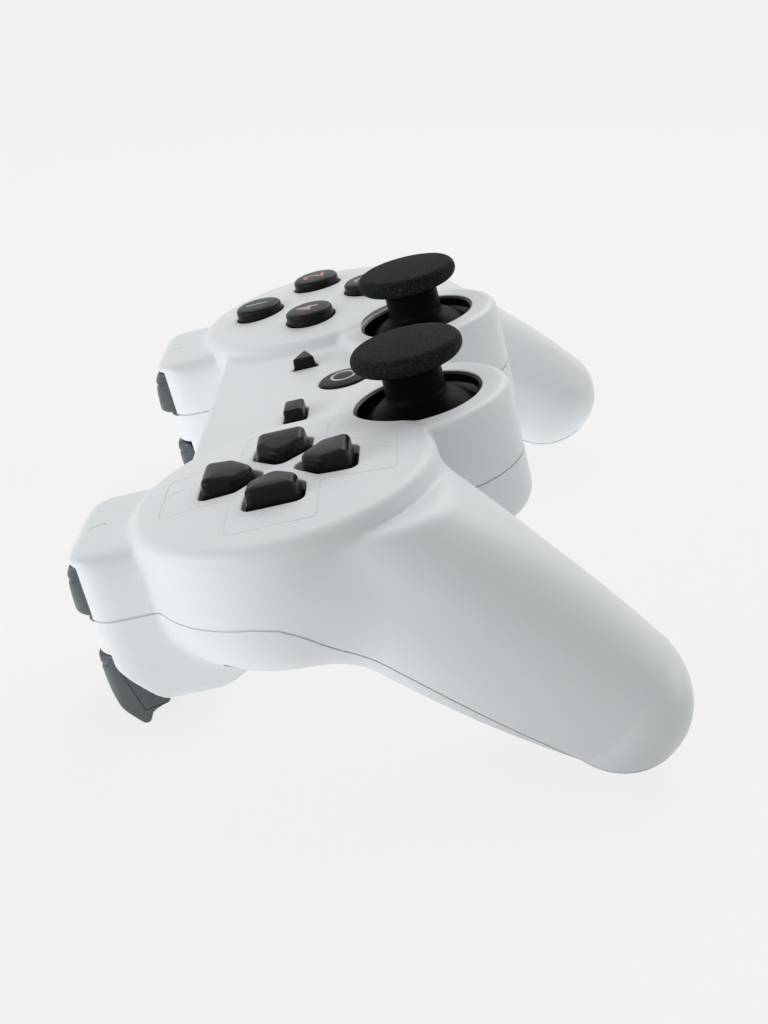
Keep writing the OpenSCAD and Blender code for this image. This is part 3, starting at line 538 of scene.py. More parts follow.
def band(outer, inner, low, high):
    """A closed flat ring between two outlines of equal length."""
    n = len(outer)
    rings = [across_axis(outer, "z", low), across_axis(outer, "z", high), across_axis(inner, "z", high),
             across_axis(inner, "z", low)]
    faces = []
    for k in range(4):
        for i in range(n):
            j = (i + 1) % n
            m = (k + 1) % 4
            faces.append((k * n + i, k * n + j, m * n + j, m * n + i))
    return np.concatenate(rings), faces


def hoop(section, centre, count=96):
    """A closed ring with a section given in (radius, height)."""
    radius, height = wound(section).T
    angle = np.arange(count)[:, None] * 2 * math.pi / count
    x = centre[0] + radius * np.cos(angle)
    y = centre[1] + radius * np.sin(angle)
    verts = np.stack((x, y, height + 0 * angle), -1).reshape(-1, 3)
    n = len(radius)
    faces = []
    for k in range(count):
        m = (k + 1) % count
        for i in range(n):
            j = (i + 1) % n
            faces.append((k * n + i, m * n + i, m * n + j, k * n + j))
    return verts, faces


def arc(cx, cz, r, start, end, steps=8):
    """Points of an arc between two angles in degrees."""
    angles = np.radians(np.linspace(start, end, steps + 1))
    return [(cx + r * math.cos(a), cz + r * math.sin(a)) for a in angles]


def flared_bore(radius, top, fillet, floor, centre):
    """The cutter of a round hole whose upper edge is rounded."""
    lip = arc(radius + fillet, top - fillet, fillet, 180, 90)
    end = top + CUT_ABOVE
    return turned([(0, floor), (radius, floor), *lip, (radius + fillet, end), (0, end)], centre)


def flared_slot(points, corner, top, fillet, floor):
    """The cutter of a shaped hole whose upper edge is rounded."""
    rings = [across_axis(rounded(points, corner), "z", floor)]
    for grow, z in arc(fillet, top - fillet, fillet, 180, 90, 5):
        rings.append(across_axis(rounded(points, corner, grow), "z", z))
    rings.append(across_axis(rounded(points, corner, fillet), "z", top + CUT_ABOVE))
    return loft(rings)


def on_dome(solid):
    """A cutter drawn for a flat pod top, raised onto the dome."""
    verts, faces = solid
    lift = pod_rise(verts[:, 0], verts[:, 1])
    return verts + np.stack((0 * lift, 0 * lift, lift), -1), faces


def spun(points, quarter):
    """A flat outline turned by quarter turns."""
    flat = np.array(points, float)
    for _ in range(quarter):
        flat = np.stack((-flat[:, 1], flat[:, 0]), -1)
    return flat


# Blender objects
def add_object(name, data):
    """A new object in the scene."""
    obj = bpy.data.objects.new(name, data)
    bpy.context.scene.collection.objects.link(obj)
    return obj


def mesh_object(name, verts, faces):
    mesh = bpy.data.meshes.new(name)
    mesh.from_pydata(np.asarray(verts).tolist(), [], faces)
    mesh.validate()
    return add_object(name, mesh)


def final_mesh(obj):
    """A copy of an object's mesh, its modifiers applied."""
    dg = bpy.context.evaluated_depsgraph_get()
    return bpy.data.meshes.new_from_object(obj.evaluated_get(dg))


def merged(solids):
    """Several solids as one list of points and faces."""
    verts = []
    faces = []
    count = 0
    for v, f in solids:
        verts.append(np.asarray(v))
        faces.extend([tuple(i + count for i in face) for face in f])
        count += len(v)
    return np.concatenate(verts), faces


def combine(obj, solids, operation="DIFFERENCE"):
    """Cuts solids out of an object, or joins them to it."""
    tool = mesh_object("tool", *merged(solids))
    mod = obj.modifiers.new("combine", "BOOLEAN")
    mod.operation = operation
    mod.solver = "MANIFOLD"
    mod.object = tool
    mesh = final_mesh(obj)
    obj.modifiers.clear()
    old = obj.data
    obj.data = mesh
    bpy.data.meshes.remove(old)
    bpy.data.objects.remove(tool)
    return obj


def mesh_points(mesh):
    flat = np.empty(len(mesh.vertices) * 3)
    mesh.vertices.foreach_get("co", flat)
    return flat.reshape(-1, 3)


SKIN_NEAR = 0.03
SAME_WAY = 0.8


def settle(obj, crease=35, distance=None):
    """Shades an object drawn in pad millimetres and puts it in its place in the frame."""
    mesh = obj.data
    mesh.shade_smooth()
    mesh.set_sharp_from_angle(angle=math.radians(crease))
    if distance:
        points = mesh_points(mesh)
        corner = np.empty(len(mesh.loops) * 3)
        mesh.corner_normals.foreach_get("vector", corner)
        corner = corner.reshape(-1, 3)
        on_skin = np.abs(distance(points)) < SKIN_NEAR
        true = slope_of(distance, points)
        vertex = np.empty(len(mesh.loops), int)
        mesh.loops.foreach_get("vertex_index", vertex)
        flat = np.empty(len(mesh.polygons) * 3)
        mesh.polygons.foreach_get("normal", flat)
        sizes = np.empty(len(mesh.polygons), int)
        mesh.polygons.foreach_get("loop_total", sizes)
        face = np.repeat(flat.reshape(-1, 3), sizes, axis=0)
        good = on_skin[vertex] & (np.sum(face * true[vertex], axis=1) > SAME_WAY)
        corner[good] = true[vertex][good]
        mesh.normals_split_custom_set(corner.tolist())
    mesh.transform(PAD @ Matrix.Scale(MM, 4))
    return obj


def finish_piece(obj, body, slot, *nodes):
    """Puts a piece on its body and in its slot, in place of the CAD nodes named."""
    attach(obj, body)
    if nodes:
        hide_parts(*nodes)
    obj.data.materials.clear()
    obj.data.materials.append(FINISH[slot])
    return obj


# Materials
BLOTCH = 0.012
NOISE_LOW = 0.3
NOISE_HIGH = 0.7
GLOSS_DRIFT = 0.05


def finish(name, colour, roughness, grain, relief, spread=0.06, stretch=(1, 1, 1), fleck=0.4, **sockets):
    """A moulded or plated surface with fine grain, colour drift and uneven gloss; lengths in metres."""
    mat = bpy.data.materials.new(name)
    mat.use_nodes = True
    nodes = mat.node_tree.nodes
    link = mat.node_tree.links.new
    shader = nodes["Principled BSDF"]
    for socket, value in sockets.items():
        shader.inputs[socket.replace("_", " ")].default_value = value
    coords = nodes.new("ShaderNodeTexCoord")
    scale = nodes.new("ShaderNodeMapping")
    scale.inputs["Scale"].default_value = stretch
    link(coords.outputs["Object"], scale.inputs["Vector"])
    fine = nodes.new("ShaderNodeTexNoise")
    fine.inputs["Scale"].default_value = 1 / grain
    fine.inputs["Detail"].default_value = 3
    link(scale.outputs["Vector"], fine.inputs["Vector"])
    broad = nodes.new("ShaderNodeTexNoise")
    broad.inputs["Scale"].default_value = 1 / BLOTCH
    broad.inputs["Detail"].default_value = 4
    link(coords.outputs["Object"], broad.inputs["Vector"])
    drift = nodes.new("ShaderNodeMath")
    drift.operation = "MULTIPLY_ADD"
    drift.inputs[1].default_value = fleck
    link(fine.outputs["Fac"], drift.inputs[0])
    weight = nodes.new("ShaderNodeMath")
    weight.operation = "MULTIPLY"
    weight.inputs[1].default_value = 1 - fleck
    link(broad.outputs["Fac"], weight.inputs[0])
    link(weight.outputs["Value"], drift.inputs[2])
    ramp = nodes.new("ShaderNodeValToRGB")
    ramp.color_ramp.elements[0].position = NOISE_LOW
    ramp.color_ramp.elements[1].position = NOISE_HIGH
    ramp.color_ramp.elements[0].color = (*[c * (1 - spread) for c in colour], 1)
    ramp.color_ramp.elements[1].color = (*[min(c * (1 + spread), 1) for c in colour], 1)
    link(drift.outputs["Value"], ramp.inputs["Fac"])
    link(ramp.outputs["Color"], shader.inputs["Base Color"])
    gloss = nodes.new("ShaderNodeMapRange")
    gloss.inputs["From Min"].default_value = NOISE_LOW
    gloss.inputs["From Max"].default_value = NOISE_HIGH
    gloss.inputs["To Min"].default_value = max(roughness - GLOSS_DRIFT, 0.02)
    gloss.inputs["To Max"].default_value = min(roughness + GLOSS_DRIFT, 1)
    link(broad.outputs["Fac"], gloss.inputs["Value"])
    link(gloss.outputs["Result"], shader.inputs["Roughness"])
    bump = nodes.new("ShaderNodeBump")
    bump.inputs["Distance"].default_value = relief
    bump.inputs["Strength"].default_value = 0.6
    link(fine.outputs["Fac"], bump.inputs["Height"])
    link(bump.outputs["Normal"], shader.inputs["Normal"])
    return mat


WHITE = (0.80, 0.835, 0.855)
BLACK = (0.0042, 0.0053, 0.0058)
RUBBER = (0.0125, 0.0155, 0.0166)
SMOKE = (0.066, 0.082, 0.087)
STEM = (0.0045, 0.0054, 0.0058)
FINISH = {
    "shell_white": finish("shell_white", WHITE, 0.40, 0.00035, 0.000006, spread=0.012),
    "inner_plastic": finish("inner_plastic", (0.16, 0.17, 0.18), 0.5, 0.0005, 0.00001),
    "board_green": finish("board_green", (0.04, 0.19, 0.10), 0.35, 0.0009, 0.00001, spread=0.2),
    "battery_wrap": finish("battery_wrap", (0.12, 0.16, 0.30), 0.32, 0.003, 0.00004, spread=0.1),
    "wire_red": finish("wire_red", (0.42, 0.05, 0.04), 0.45, 0.0006, 0.00001),
    "plated_steel": finish("plated_steel", (0.60, 0.61, 0.63), 0.28, 0.0002, 0.000004, stretch=(1, 0.08, 1),
                           Metallic=1.0),
    "light_clear": finish("light_clear", (0.80, 0.86, 0.90), 0.15, 0.0008, 0.000004, spread=0.03,
                          Transmission_Weight=0.4),
    "membrane_rubber": finish("membrane_rubber", (0.36, 0.37, 0.38), 0.7, 0.0003, 0.00001),
    "button_black": finish("button_black", BLACK, 0.30, 0.0004, 0.00009, spread=0.5, fleck=0.85,
                           Specular_IOR_Level=0.14),
    "home_grey": finish("home_grey", (0.30, 0.31, 0.32), 0.32, 0.0003, 0.000005),
    "shoulder_smoke": finish("shoulder_smoke", SMOKE, 0.30, 0.0003, 0.00002, spread=0.25,
                             stretch=(0.06, 1, 1)),
    "stick_rubber": finish("stick_rubber", RUBBER, 0.6, 0.0004, 0.00012, spread=0.8, fleck=0.95,
                           Specular_IOR_Level=0.03),
    "weight_brass": finish("weight_brass", (0.60, 0.44, 0.18), 0.3, 0.0002, 0.000004, Metallic=1.0),
}
STEM_BLACK = finish("stem_black", STEM, 0.35, 0.0004, 0.00001, spread=0.2, Specular_IOR_Level=0.02)
INLAY_COLOURS = {
    "rear": ("green", (0.17, 0.42, 0.33)),
    "right": ("red", (0.52, 0.20, 0.18)),
    "front": ("blue", (0.22, 0.32, 0.55)),
    "left": ("pink", (0.50, 0.32, 0.46)),
    "pale": ("pale", (0.55, 0.56, 0.57)),
}
INLAYS = {}
for place, (tint, colour) in INLAY_COLOURS.items():
    INLAYS[place] = finish("inlay_" + tint, colour, 0.4, 0.0004, 0.000004)
for part in frame["record"]["subparts"]:
    solid = frame["nodes"][part["node"]]
    solid.data.materials.clear()
    solid.data.materials.append(FINISH[part["material_slot"]])


# Housing shells
def dpad_house(grow=0.0):
    """The house shape of a direction cap, its tip towards the middle, moved outwards by grow."""
    tip = DPAD_TIP - 1.4 * grow
    half = DPAD_HALF + grow
    reach = DPAD_REACH + grow
    return [(tip, 0), (tip + half, -half), (reach, -half), (reach, half), (tip + half, half)]


def at_dpad(points):
    return np.asarray(points, float) + (-POD_X, 0)


def select_plan(grow=0.0):
    x0 = -SMALL_X - SELECT_HALF[0] - grow
    x1 = -SMALL_X + SELECT_HALF[0] + grow
    y0 = SMALL_Y - SELECT_HALF[1] - grow
    y1 = SMALL_Y + SELECT_HALF[1] + grow
    return [(x0, y0), (x1, y0), (x1, y1), (x0, y1)]


def start_plan(grow=0.0):
    """A triangle that points right; its sides move outwards by grow, so its tips move further."""
    left = SMALL_X - START_HALF[0] - grow
    half = START_HALF[1] + 1.7 * grow
    return [(left, SMALL_Y - half), (SMALL_X + START_TIP + 2.2 * grow, SMALL_Y), (left, SMALL_Y + half)]


def cross_plan(half, reach):
    return [(reach, -half), (reach, half), (half, half), (half, reach), (-half, reach), (-half, half),
            (-reach, half), (-reach, -half), (-half, -half), (-half, -reach), (half, -reach), (half, -half)]


FACES = {"right": (POD_X + FACE_RING, 0), "rear": (POD_X, FACE_RING), "left": (POD_X - FACE_RING, 0),
         "front": (POD_X, -FACE_RING)}
EDGE = 0.35
# The stick holes are cut wider to take a dark liner ring, which paints the shade on the hole's wall
SHADE_LINER_R = STICK_HOLE_R + 0.5
STICK_LIP = 0.25
POD_CUT = -4
PLATE_CUT = -6
REAR_CUT = (PLATE_REAR - 4, PLATE_REAR + 2)
BUMPER_BACK = 20
MOUTH_GAP = 0.1
LINE_TOP = 1
DASH = [(46.65, 33.2), (46.25, 33.2), (45.55, 30.5), (45.95, 30.5)]
DASH_DEPTH = 0.5
HOUSE_CORNER = 1.7
SMALL_CORNER = 0.5
DISC_RING = 16.6
DISC_R = 2.1
DISC_DEPTH = 0.04
CROSS = cross_plan(7.3, 19.4)
CROSS_CORNER = 1.2
CROSS_HALF = 0.1
CROSS_DEPTH = 0.09
LIGHT_HALF = (0.55, 1.3)
LIGHT_CORNER = 0.3
USB_HOLE = [(-19.5, -3.95), (-19.5, 3.95), (-15.45, 3.95), (-15.45, -3.95)]
SCREW_REACH = 40
SMALL_ROUND = 40
holes = []
for side in (-1, 1):
    holes.append(flared_bore(SHADE_LINER_R, TOWER_TOP, STICK_LIP, PLATE_CUT, (side * STICK_X, STICK_Y)))
    reach = BUMPER_HALF + BUMPER_GAP
    rear = BUMPER_REAR + BUMPER_GAP
    plan = [(-reach, BUMPER_BACK), (reach, BUMPER_BACK), (reach, rear), (-reach, rear)]
    plan = rounded(plan, BUMPER_CORNER) + (side * SHOULDER_X, 0)
    holes.append(prism(plan, "z", BAR_TOP, BUMPER_TOP + BUMPER_GAP))
    gap = SHOULDER_HALF - WALL + MOUTH_GAP
    x0 = side * SHOULDER_X - gap
    holes.append(block((x0, MOUTH_Y, -REACH_UP), (x0 + 2 * gap, REACH_UP, BAR_FLOOR + 0.15)))
    dash = rounded([(side * x, y) for x, y in DASH], 0.1)
    holes.append(prism(dash, "z", SHOULDER_TOP - DASH_DEPTH, SHOULDER_TOP + 2))
for spot in FACES.values():
    holes.append(on_dome(flared_bore(FACE_R + BUTTON_GAP, 0, EDGE, POD_CUT, spot)))
for quarter in range(4):
    house = at_dpad(spun(dpad_house(ROCKER_GAP), quarter))
    holes.append(on_dome(flared_slot(house, HOUSE_CORNER, 0, EDGE, POD_CUT)))
    spot = at_dpad(spun([(DISC_RING, 0)], quarter))[0]
    disc = [(0, -DISC_DEPTH), (DISC_R, -DISC_DEPTH), (DISC_R, LINE_TOP), (0, LINE_TOP)]
    holes.append(on_dome(turned(disc, tuple(spot))))
cross_edges = [at_dpad(finer(rounded(CROSS, CROSS_CORNER, grow))) for grow in (CROSS_HALF, -CROSS_HALF)]
holes.append(on_dome(band(*cross_edges, -CROSS_DEPTH, LINE_TOP)))
holes.append(flared_slot(select_plan(BUTTON_GAP), SMALL_CORNER, PLATE_TOP, EDGE, PLATE_CUT))
holes.append(flared_slot(start_plan(BUTTON_GAP), SMALL_CORNER, PLATE_TOP, EDGE, PLATE_CUT))
holes.append(flared_bore(HOME_R + BUTTON_GAP, PLATE_TOP, EDGE, PLATE_CUT, (0, HOME_Y)))
for x in LIGHTS:
    low = LIGHT_Z - LIGHT_HALF[0]
    high = LIGHT_Z + LIGHT_HALF[0]
    left = x - LIGHT_HALF[1]
    right = x + LIGHT_HALF[1]
    slot = [(low, left), (low, right), (high, right), (high, left)]
    holes.append(prism(rounded(slot, LIGHT_CORNER), "y", *REAR_CUT))
holes.append(prism(rounded(USB_HOLE, SMALL_CORNER), "y", *REAR_CUT))
for sx, sy, sz in SCREWS:
    low = sz - SCREW_REACH
    recess = [(0, low), (SCREW_RECESS_R, low), (SCREW_RECESS_R, sz), (0, sz)]
    holes.append(turned(recess, (sx, sy), SMALL_ROUND))

# The open ends behind the bumpers, and the table that the pad's undersides are flat against
END_REAR = 50
END_HALF = 15
END_TOP = BUMPER_TOP + 0.29
END_FLOOR = BAR_TOP + 0.05
ends = []
for side in (-1, 1):
    wedge = [(SHOULDER_REAR - 2.2, END_TOP), (END_REAR, END_TOP), (END_REAR, END_FLOOR),
             (SHOULDER_REAR - 1.9, END_FLOOR)]
    ends.append(prism(wedge, "x", side * SHOULDER_X - END_HALF, side * SHOULDER_X + END_HALF))
ground = block((-REACH_OUT, -REACH_OUT, -REACH_UP), (REACH_OUT, REACH_OUT, 0))
to_pad = np.array(PAD.inverted())
ground = ((ground[0] * MM @ to_pad[:3, :3].T + to_pad[:3, 3]) / MM, ground[1])
ends.append(ground)


# The parting line: straight, then a knee below it in (y, z), then down the grip in (s, n)
SEAM_BACK = 70
SEAM_FRONT = 6
SEAM_KNEE = [(2, -0.7), (-1.4, -2.8), (-5.7, -6.7)]
SEAM_GRIP = [(27, -8), (44, -6), (54.5, -4.7), (58, -4.6), (61.5, -4.2), (65, -2.2), (68, 1), (71.5, 6.4)]
SEAM_END = 100 * ALONG + 40 * ACROSS


def seam_line():
    """The parting line down the side of a grip, in (y, z), from behind the pad to beyond the grip's end."""
    line = [(y, SEAM_Z + z) for y, z in SEAM_KNEE]
    line += [tuple(s * ALONG + n * ACROSS) for s, n in SEAM_GRIP]
    return [(SEAM_BACK, SEAM_Z), (SEAM_FRONT, SEAM_Z), *curve_through(line), tuple(SEAM_END)]


def on_both_grips(outline):
    """Two prisms that carry an outline outwards from where the parting line leaves the middle."""
    inner = SPLIT_X - OVERLAP
    return [prism(outline, "x", inner, REACH_SIDE), prism(outline, "x", -REACH_SIDE, -inner)]


def seam_zone(above):
    """One side of the parting surface, as solids that the other shell is cut with."""
    if above:
        rest = [(-90, REACH_UP), (SEAM_BACK, REACH_UP)]
        low, high = SEAM_Z - SEAM_GAP, REACH_UP
    else:
        rest = [(-150, 20), (-150, -REACH_OUT), (SEAM_BACK, -REACH_OUT)]
        low, high = -REACH_OUT, SEAM_Z + SEAM_GAP
    zone = moved_out([*seam_line(), *rest], SEAM_GAP)
    slab = block((-SPLIT_X, -REACH_OUT, low), (SPLIT_X, REACH_OUT, high))
    return on_both_grips(zone), [slab]


def seam_channels(core):
    """Shallow channels along the parting line, as solids that stop at the core."""
    line = np.array(seam_line())
    step = np.gradient(line, axis=0)
    square = SEAM_HALF * np.stack((-step[:, 1], step[:, 0]), 1) / np.linalg.norm(step, axis=1)[:, None]
    strip = np.concatenate((line + square, (line - square)[::-1]))
    below = [*line[1:], (line[-1][0], SEAM_Z)]
    slab = block((-SPLIT_X, -REACH_OUT, SEAM_Z - SEAM_HALF), (SPLIT_X, REACH_OUT, SEAM_Z + SEAM_HALF))
    steps = [prism(below, "x", x - SEAM_HALF, x + SEAM_HALF) for x in (SPLIT_X, -SPLIT_X)]
    for group in ([slab], on_both_grips(strip), steps):
        channel = combine(mesh_object("channel", *merged(group)), [core])
        yield mesh_points(channel.data), [tuple(face.vertices) for face in channel.data.polygons]
        bpy.data.objects.remove(channel)


BOX_LOW = (-82, -64, -56)
BOX_HIGH = (82, 40, 3)
SHELL_STEP = 0.8
shell = mesh_object("shell", *skin_of(housing, BOX_LOW, BOX_HIGH, SHELL_STEP))
combine(shell, [skin_of(hollow, BOX_LOW, BOX_HIGH, 2 * SHELL_STEP)])
combine(shell, holes)
combine(shell, ends)
core = skin_of(lambda p: housing(p) + SEAM_DEPTH, BOX_LOW, BOX_HIGH, SHELL_STEP)
for channel in seam_channels(core):
    combine(shell, [channel])
for name, node, above in (("housing_top", "top_shell", False), ("housing_bottom", "bottom_shell", True)):
    half = add_object(name, shell.data.copy())
    for solids in seam_zone(above):
        combine(half, solids)
    settle(half, 30, housing)
    finish_piece(half, "housing", "shell_white", node)
bpy.data.objects.remove(shell)


# Direction pad: four caps on one hidden plate
def dpad_cap(quarter):
    """A direction cap whose top falls towards the pad's middle and is slightly crowned."""
    fillet = 1.1
    draft = 0.2
    fall = 0.8
    crown = 0.12
    margin = 2
    corner = (2.4, 2.0, 1.5, 1.5, 2.0)

    def top_at(points):
        out = np.clip(points[:, 0], margin, DPAD_REACH - margin)
        return DPAD_TOP - fall * (DPAD_REACH - margin - out) / (DPAD_REACH - 2 * margin)

    rings = []
    for grow, z in ((0.3, DPAD_PLATE[0] + 0.2), (0.3, -0.9), (0.0, -0.7)):
        points = rounded(dpad_house(), corner, grow)
        rings.append(across_axis(points, "z", z))
    for grow, drop in arc(-draft - fillet, -fillet, fillet, 0, 90, 6):
        points = rounded(dpad_house(), corner, grow)
        rings.append(across_axis(points, "z", top_at(points) + drop))
    rim = rings[-1]
    middle = np.array((*rim[:, :2].mean(0), 0))
    for part in (0.8, 0.55, 0.25):
        points = middle + (rim - middle) * (part, part, 0)
        points[:, 2] = top_at(points) + crown * (1 - part ** 2)
        rings.append(points)
    turned_rings = []
    for ring in rings:
        flat = at_dpad(spun(ring[:, :2], quarter))
        turned_rings.append(np.column_stack((flat, ring[:, 2])))
    return loft(turned_rings)


FOOT_RING = 9
FOOT_R = 2.2
FOOT_LOW = DPAD_PLATE[0] - 0.5
FOOT_HIGH = FOOT_LOW + 0.7
plate = prism(at_dpad(rounded(cross_plan(DPAD_HALF + 1, DPAD_REACH + 1.1), 0.8)), "z", *DPAD_PLATE)
pad = mesh_object("dpad_cross", *plate)
combine(pad, [dpad_cap(q) for q in range(4)], "UNION")
feet = []
for q in range(4):
    spot = at_dpad(spun([(FOOT_RING, 0)], q))[0]
    foot = [(0, FOOT_LOW), (FOOT_R, FOOT_LOW), (FOOT_R, FOOT_HIGH), (0, FOOT_HIGH)]
    feet.append(turned(foot, tuple(spot), SMALL_ROUND))
combine(pad, feet, "UNION")
finish_piece(settle(pad, 40), "dpad", "button_black", "dpad")

# Face buttons with plain numbers
FACE_RIM = 0.8
FACE_FLANGE = FACE_R + 1.3
FACE_FOOT = [(0, -4.4), (3.4, -4.4), (3.4, -3.6), (FACE_FLANGE, -3.6), (FACE_FLANGE, -2.4), (FACE_R, -2.4)]
NUMBER_SIZE = 6.6
NUMBER_BOLD = 0.09
NUMBER_HALF = 0.1
NUMBER_SINK = 0.08
for name, number in (("rear", "1"), ("right", "2"), ("front", "3"), ("left", "4")):
    x, y = FACES[name]
    rim = arc(FACE_R - FACE_RIM, FACE_TOP - 0.9, FACE_RIM, 0, 78)
    profile = [*FACE_FOOT, *rim, (3.6, FACE_TOP - 0.03), (3.2, FACE_TOP), (0, FACE_TOP)]
    button = mesh_object(name + "_face_cap", *turned(profile, (x, y)))
    finish_piece(settle(button, 40), name + "_face_button", "button_black", name + "_face_button")
    font = bpy.data.curves.new("number", "FONT")
    font.body = number
    font.size = NUMBER_SIZE
    font.extrude = NUMBER_HALF
    font.offset = NUMBER_BOLD
    font.align_x = "CENTER"
    font.align_y = "CENTER"
    written = add_object("number", font)
    mesh = final_mesh(written)
    bpy.data.objects.remove(written)
    mesh.transform(Matrix.Translation((x, y, FACE_TOP - NUMBER_SINK)))
    inlay = add_object(name + "_face_number", mesh)
    finish_piece(settle(inlay), name + "_face_button", "button_black")
    inlay.data.materials[0] = INLAYS[name]


# Small buttons
FLANGE_TOP = PLATE_TOP - 2.4


def small_cap(plan):
    """A small button: its flange under the plate, its straight side and its rounded top."""
    rings = []
    for grow, z in ((1.0, FLANGE_TOP - 1), (1.0, FLANGE_TOP), (0, FLANGE_TOP), (0, PLATE_TOP)):
        rings.append(across_axis(rounded(plan(grow), 0.4), "z", z))
    for grow, drop in arc(-0.5, -0.5, 0.5, 0, 90, 5):
        rings.append(across_axis(rounded(plan(), 0.6, grow), "z", SMALL_TOP + drop))
    return loft(rings)


for name, plan in (("select", select_plan), ("start", start_plan)):
    cap = mesh_object(name + "_cap", *small_cap(plan))
    finish_piece(settle(cap, 40), name + "_button", "button_black", name + "_button")
HOME_FLANGE = HOME_R + 1.2
HOME_RIM = 0.3
HOME_RISE = 0.25
HOME_DOME = 0.45
HOME_STEPS = 8
RING_OUTER = 2.5
RING_INNER = 2.0
dome = []
for i in range(1, HOME_STEPS + 1):
    out = 1 - i / HOME_STEPS
    dome.append((HOME_R * out, PLATE_TOP + HOME_RISE + HOME_DOME * (1 - out ** 2)))
profile = [(0, -7.2), (3, -7.2), (3, FLANGE_TOP - 1), (HOME_FLANGE, FLANGE_TOP - 1)]
profile += [(HOME_FLANGE, FLANGE_TOP), (HOME_R, FLANGE_TOP)]
profile += [*arc(HOME_R - HOME_RIM, PLATE_TOP, HOME_RIM, 0, 80, 4), *dome]
home = mesh_object("home_cap", *turned(profile, (0, HOME_Y)))
finish_piece(settle(home, 40), "home_button", "home_grey", "home_button")
home.data.materials[0] = FINISH["button_black"]
circle = np.array([(math.cos(a), math.sin(a)) for a in np.linspace(0, 2 * math.pi, 48, endpoint=False)])
outer = circle * RING_OUTER + (0, HOME_Y)
inner = circle * RING_INNER + (0, HOME_Y)
mark = mesh_object("home_ring", *band(outer, inner, PLATE_TOP + 0.2, PLATE_TOP + 0.64))
finish_piece(settle(mark), "home_button", "home_grey")
mark.data.materials[0] = INLAYS["pale"]

# Thumb sticks, each in a dark liner ring that paints the shade on the wall of its hole
INNER_R = SKIRT_R - SKIRT_T
BORE_R = 2.1
CAP_EDGE = 1.8
CAP_CROWN = 0.34
CAP_STEPS = 12
STEM_END = CAP_Z - 2.2
SHADE_LINER_FOOT = -2.5
SHADE_LINER_LEDGE = -2.1
stem_angle = math.degrees(math.asin(STEM_R / SKIRT_R))
bore_angle = math.degrees(math.asin(BORE_R / INNER_R))
profile = [(0, CAP_Z - 4), (BORE_R, CAP_Z - 4)]
profile += arc(0, PIVOT_Z, INNER_R, 90 - bore_angle, 90 - SKIRT_ANGLE, 14)
profile += arc(0, PIVOT_Z, SKIRT_R, 90 - SKIRT_ANGLE, 90 - stem_angle - 3, 16)
profile += [(STEM_R + 0.3, 0.05), (STEM_R + 0.05, 0.5), (STEM_R, 1.2), (STEM_R, CAP_Z - 3.6)]
profile += [(STEM_R + 0.2, CAP_Z - 2.9), (STEM_R + 0.8, CAP_Z - 2.3), (STEM_R + 1.8, CAP_Z - 1.95)]
profile += arc(CAP_R - CAP_EDGE, CAP_Z, CAP_EDGE, -78, 62, 16)
shoulder_r, shoulder_z = profile[-1]
for i in range(1, CAP_STEPS + 1):
    out = 1 - i / CAP_STEPS
    profile.append((shoulder_r * out, shoulder_z + CAP_CROWN * (1 - out ** 2)))
# A dark ring lines the hole where the white wall would show; it is painted shade on the hole's wall
shade_liner_out = SHADE_LINER_R + 0.6
shade_liner_in = SHADE_LINER_R - 0.02
shade_liner = [(shade_liner_out, SHADE_LINER_FOOT), (shade_liner_out, SHADE_LINER_LEDGE), (shade_liner_in, SHADE_LINER_LEDGE),
          (shade_liner_in, TOWER_TOP - 0.2), (STICK_HOLE_R, TOWER_TOP - 0.5), (STICK_HOLE_R, SHADE_LINER_FOOT)]
for side, sign in (("left", -1), ("right", 1)):
    spot = (sign * STICK_X, STICK_Y)
    cap = mesh_object(side + "_stick_cap", *turned(profile, spot, 96))
    height = mesh_points(cap.data)[:, 2]
    stem = [height[list(face.vertices)].max() < STEM_END for face in cap.data.polygons]
    finish_piece(settle(cap, 50), side + "_stick", "stick_rubber", side + "_thumb_cap")
    cap.data.materials.append(STEM_BLACK)
    cap.data.polygons.foreach_set("material_index", np.array(stem, int))
    ring = mesh_object(side + "_stick_shade_liner", *hoop(shade_liner, spot))
    finish_piece(settle(ring, 40), "housing", "button_black")

# Bumpers and triggers
TRIGGER_LINE = [(33.0, -22.4), (30.9, -31.2), (27.0, -30.5)]
LINE_HALF = 0.09
LINE_DEPTH = 0.22
CAP_STEP = 0.4
for side, sign in (("left", -1), ("right", 1)):
    middle = sign * SHOULDER_X
    reach = TRIGGER_HALF + 0.9
    low = (middle - reach, 27.5, -15)
    high = (middle + reach, 40, -2)
    bumper = mesh_object(side + "_bumper_cap", *skin_of(bumper_block, low, high, CAP_STEP))
    finish_piece(settle(bumper, 40, bumper_block), side + "_bumper", "shoulder_smoke", side + "_bumper")
    low = (middle - reach, 25, -36)
    high = (middle + reach, 39, -13)
    trigger = mesh_object(side + "_trigger_cap", *skin_of(trigger_block, low, high, CAP_STEP))
    for a, b in zip(TRIGGER_LINE, TRIGGER_LINE[1:]):
        a = np.array(a)
        b = np.array(b)
        along = (b - a) / np.linalg.norm(b - a)
        edge = LINE_HALF * np.array((-along[1], along[0]))
        for end in (-1, 1):
            x = np.array((TRIGGER_HALF - LINE_DEPTH, TRIGGER_HALF + 1)) * end + middle
            combine(trigger, [prism([a + edge, a - edge, b - edge, b + edge], "x", *sorted(x))])
    finish_piece(settle(trigger, 40, trigger_block), side + "_trigger", "shoulder_smoke", side + "_trigger")

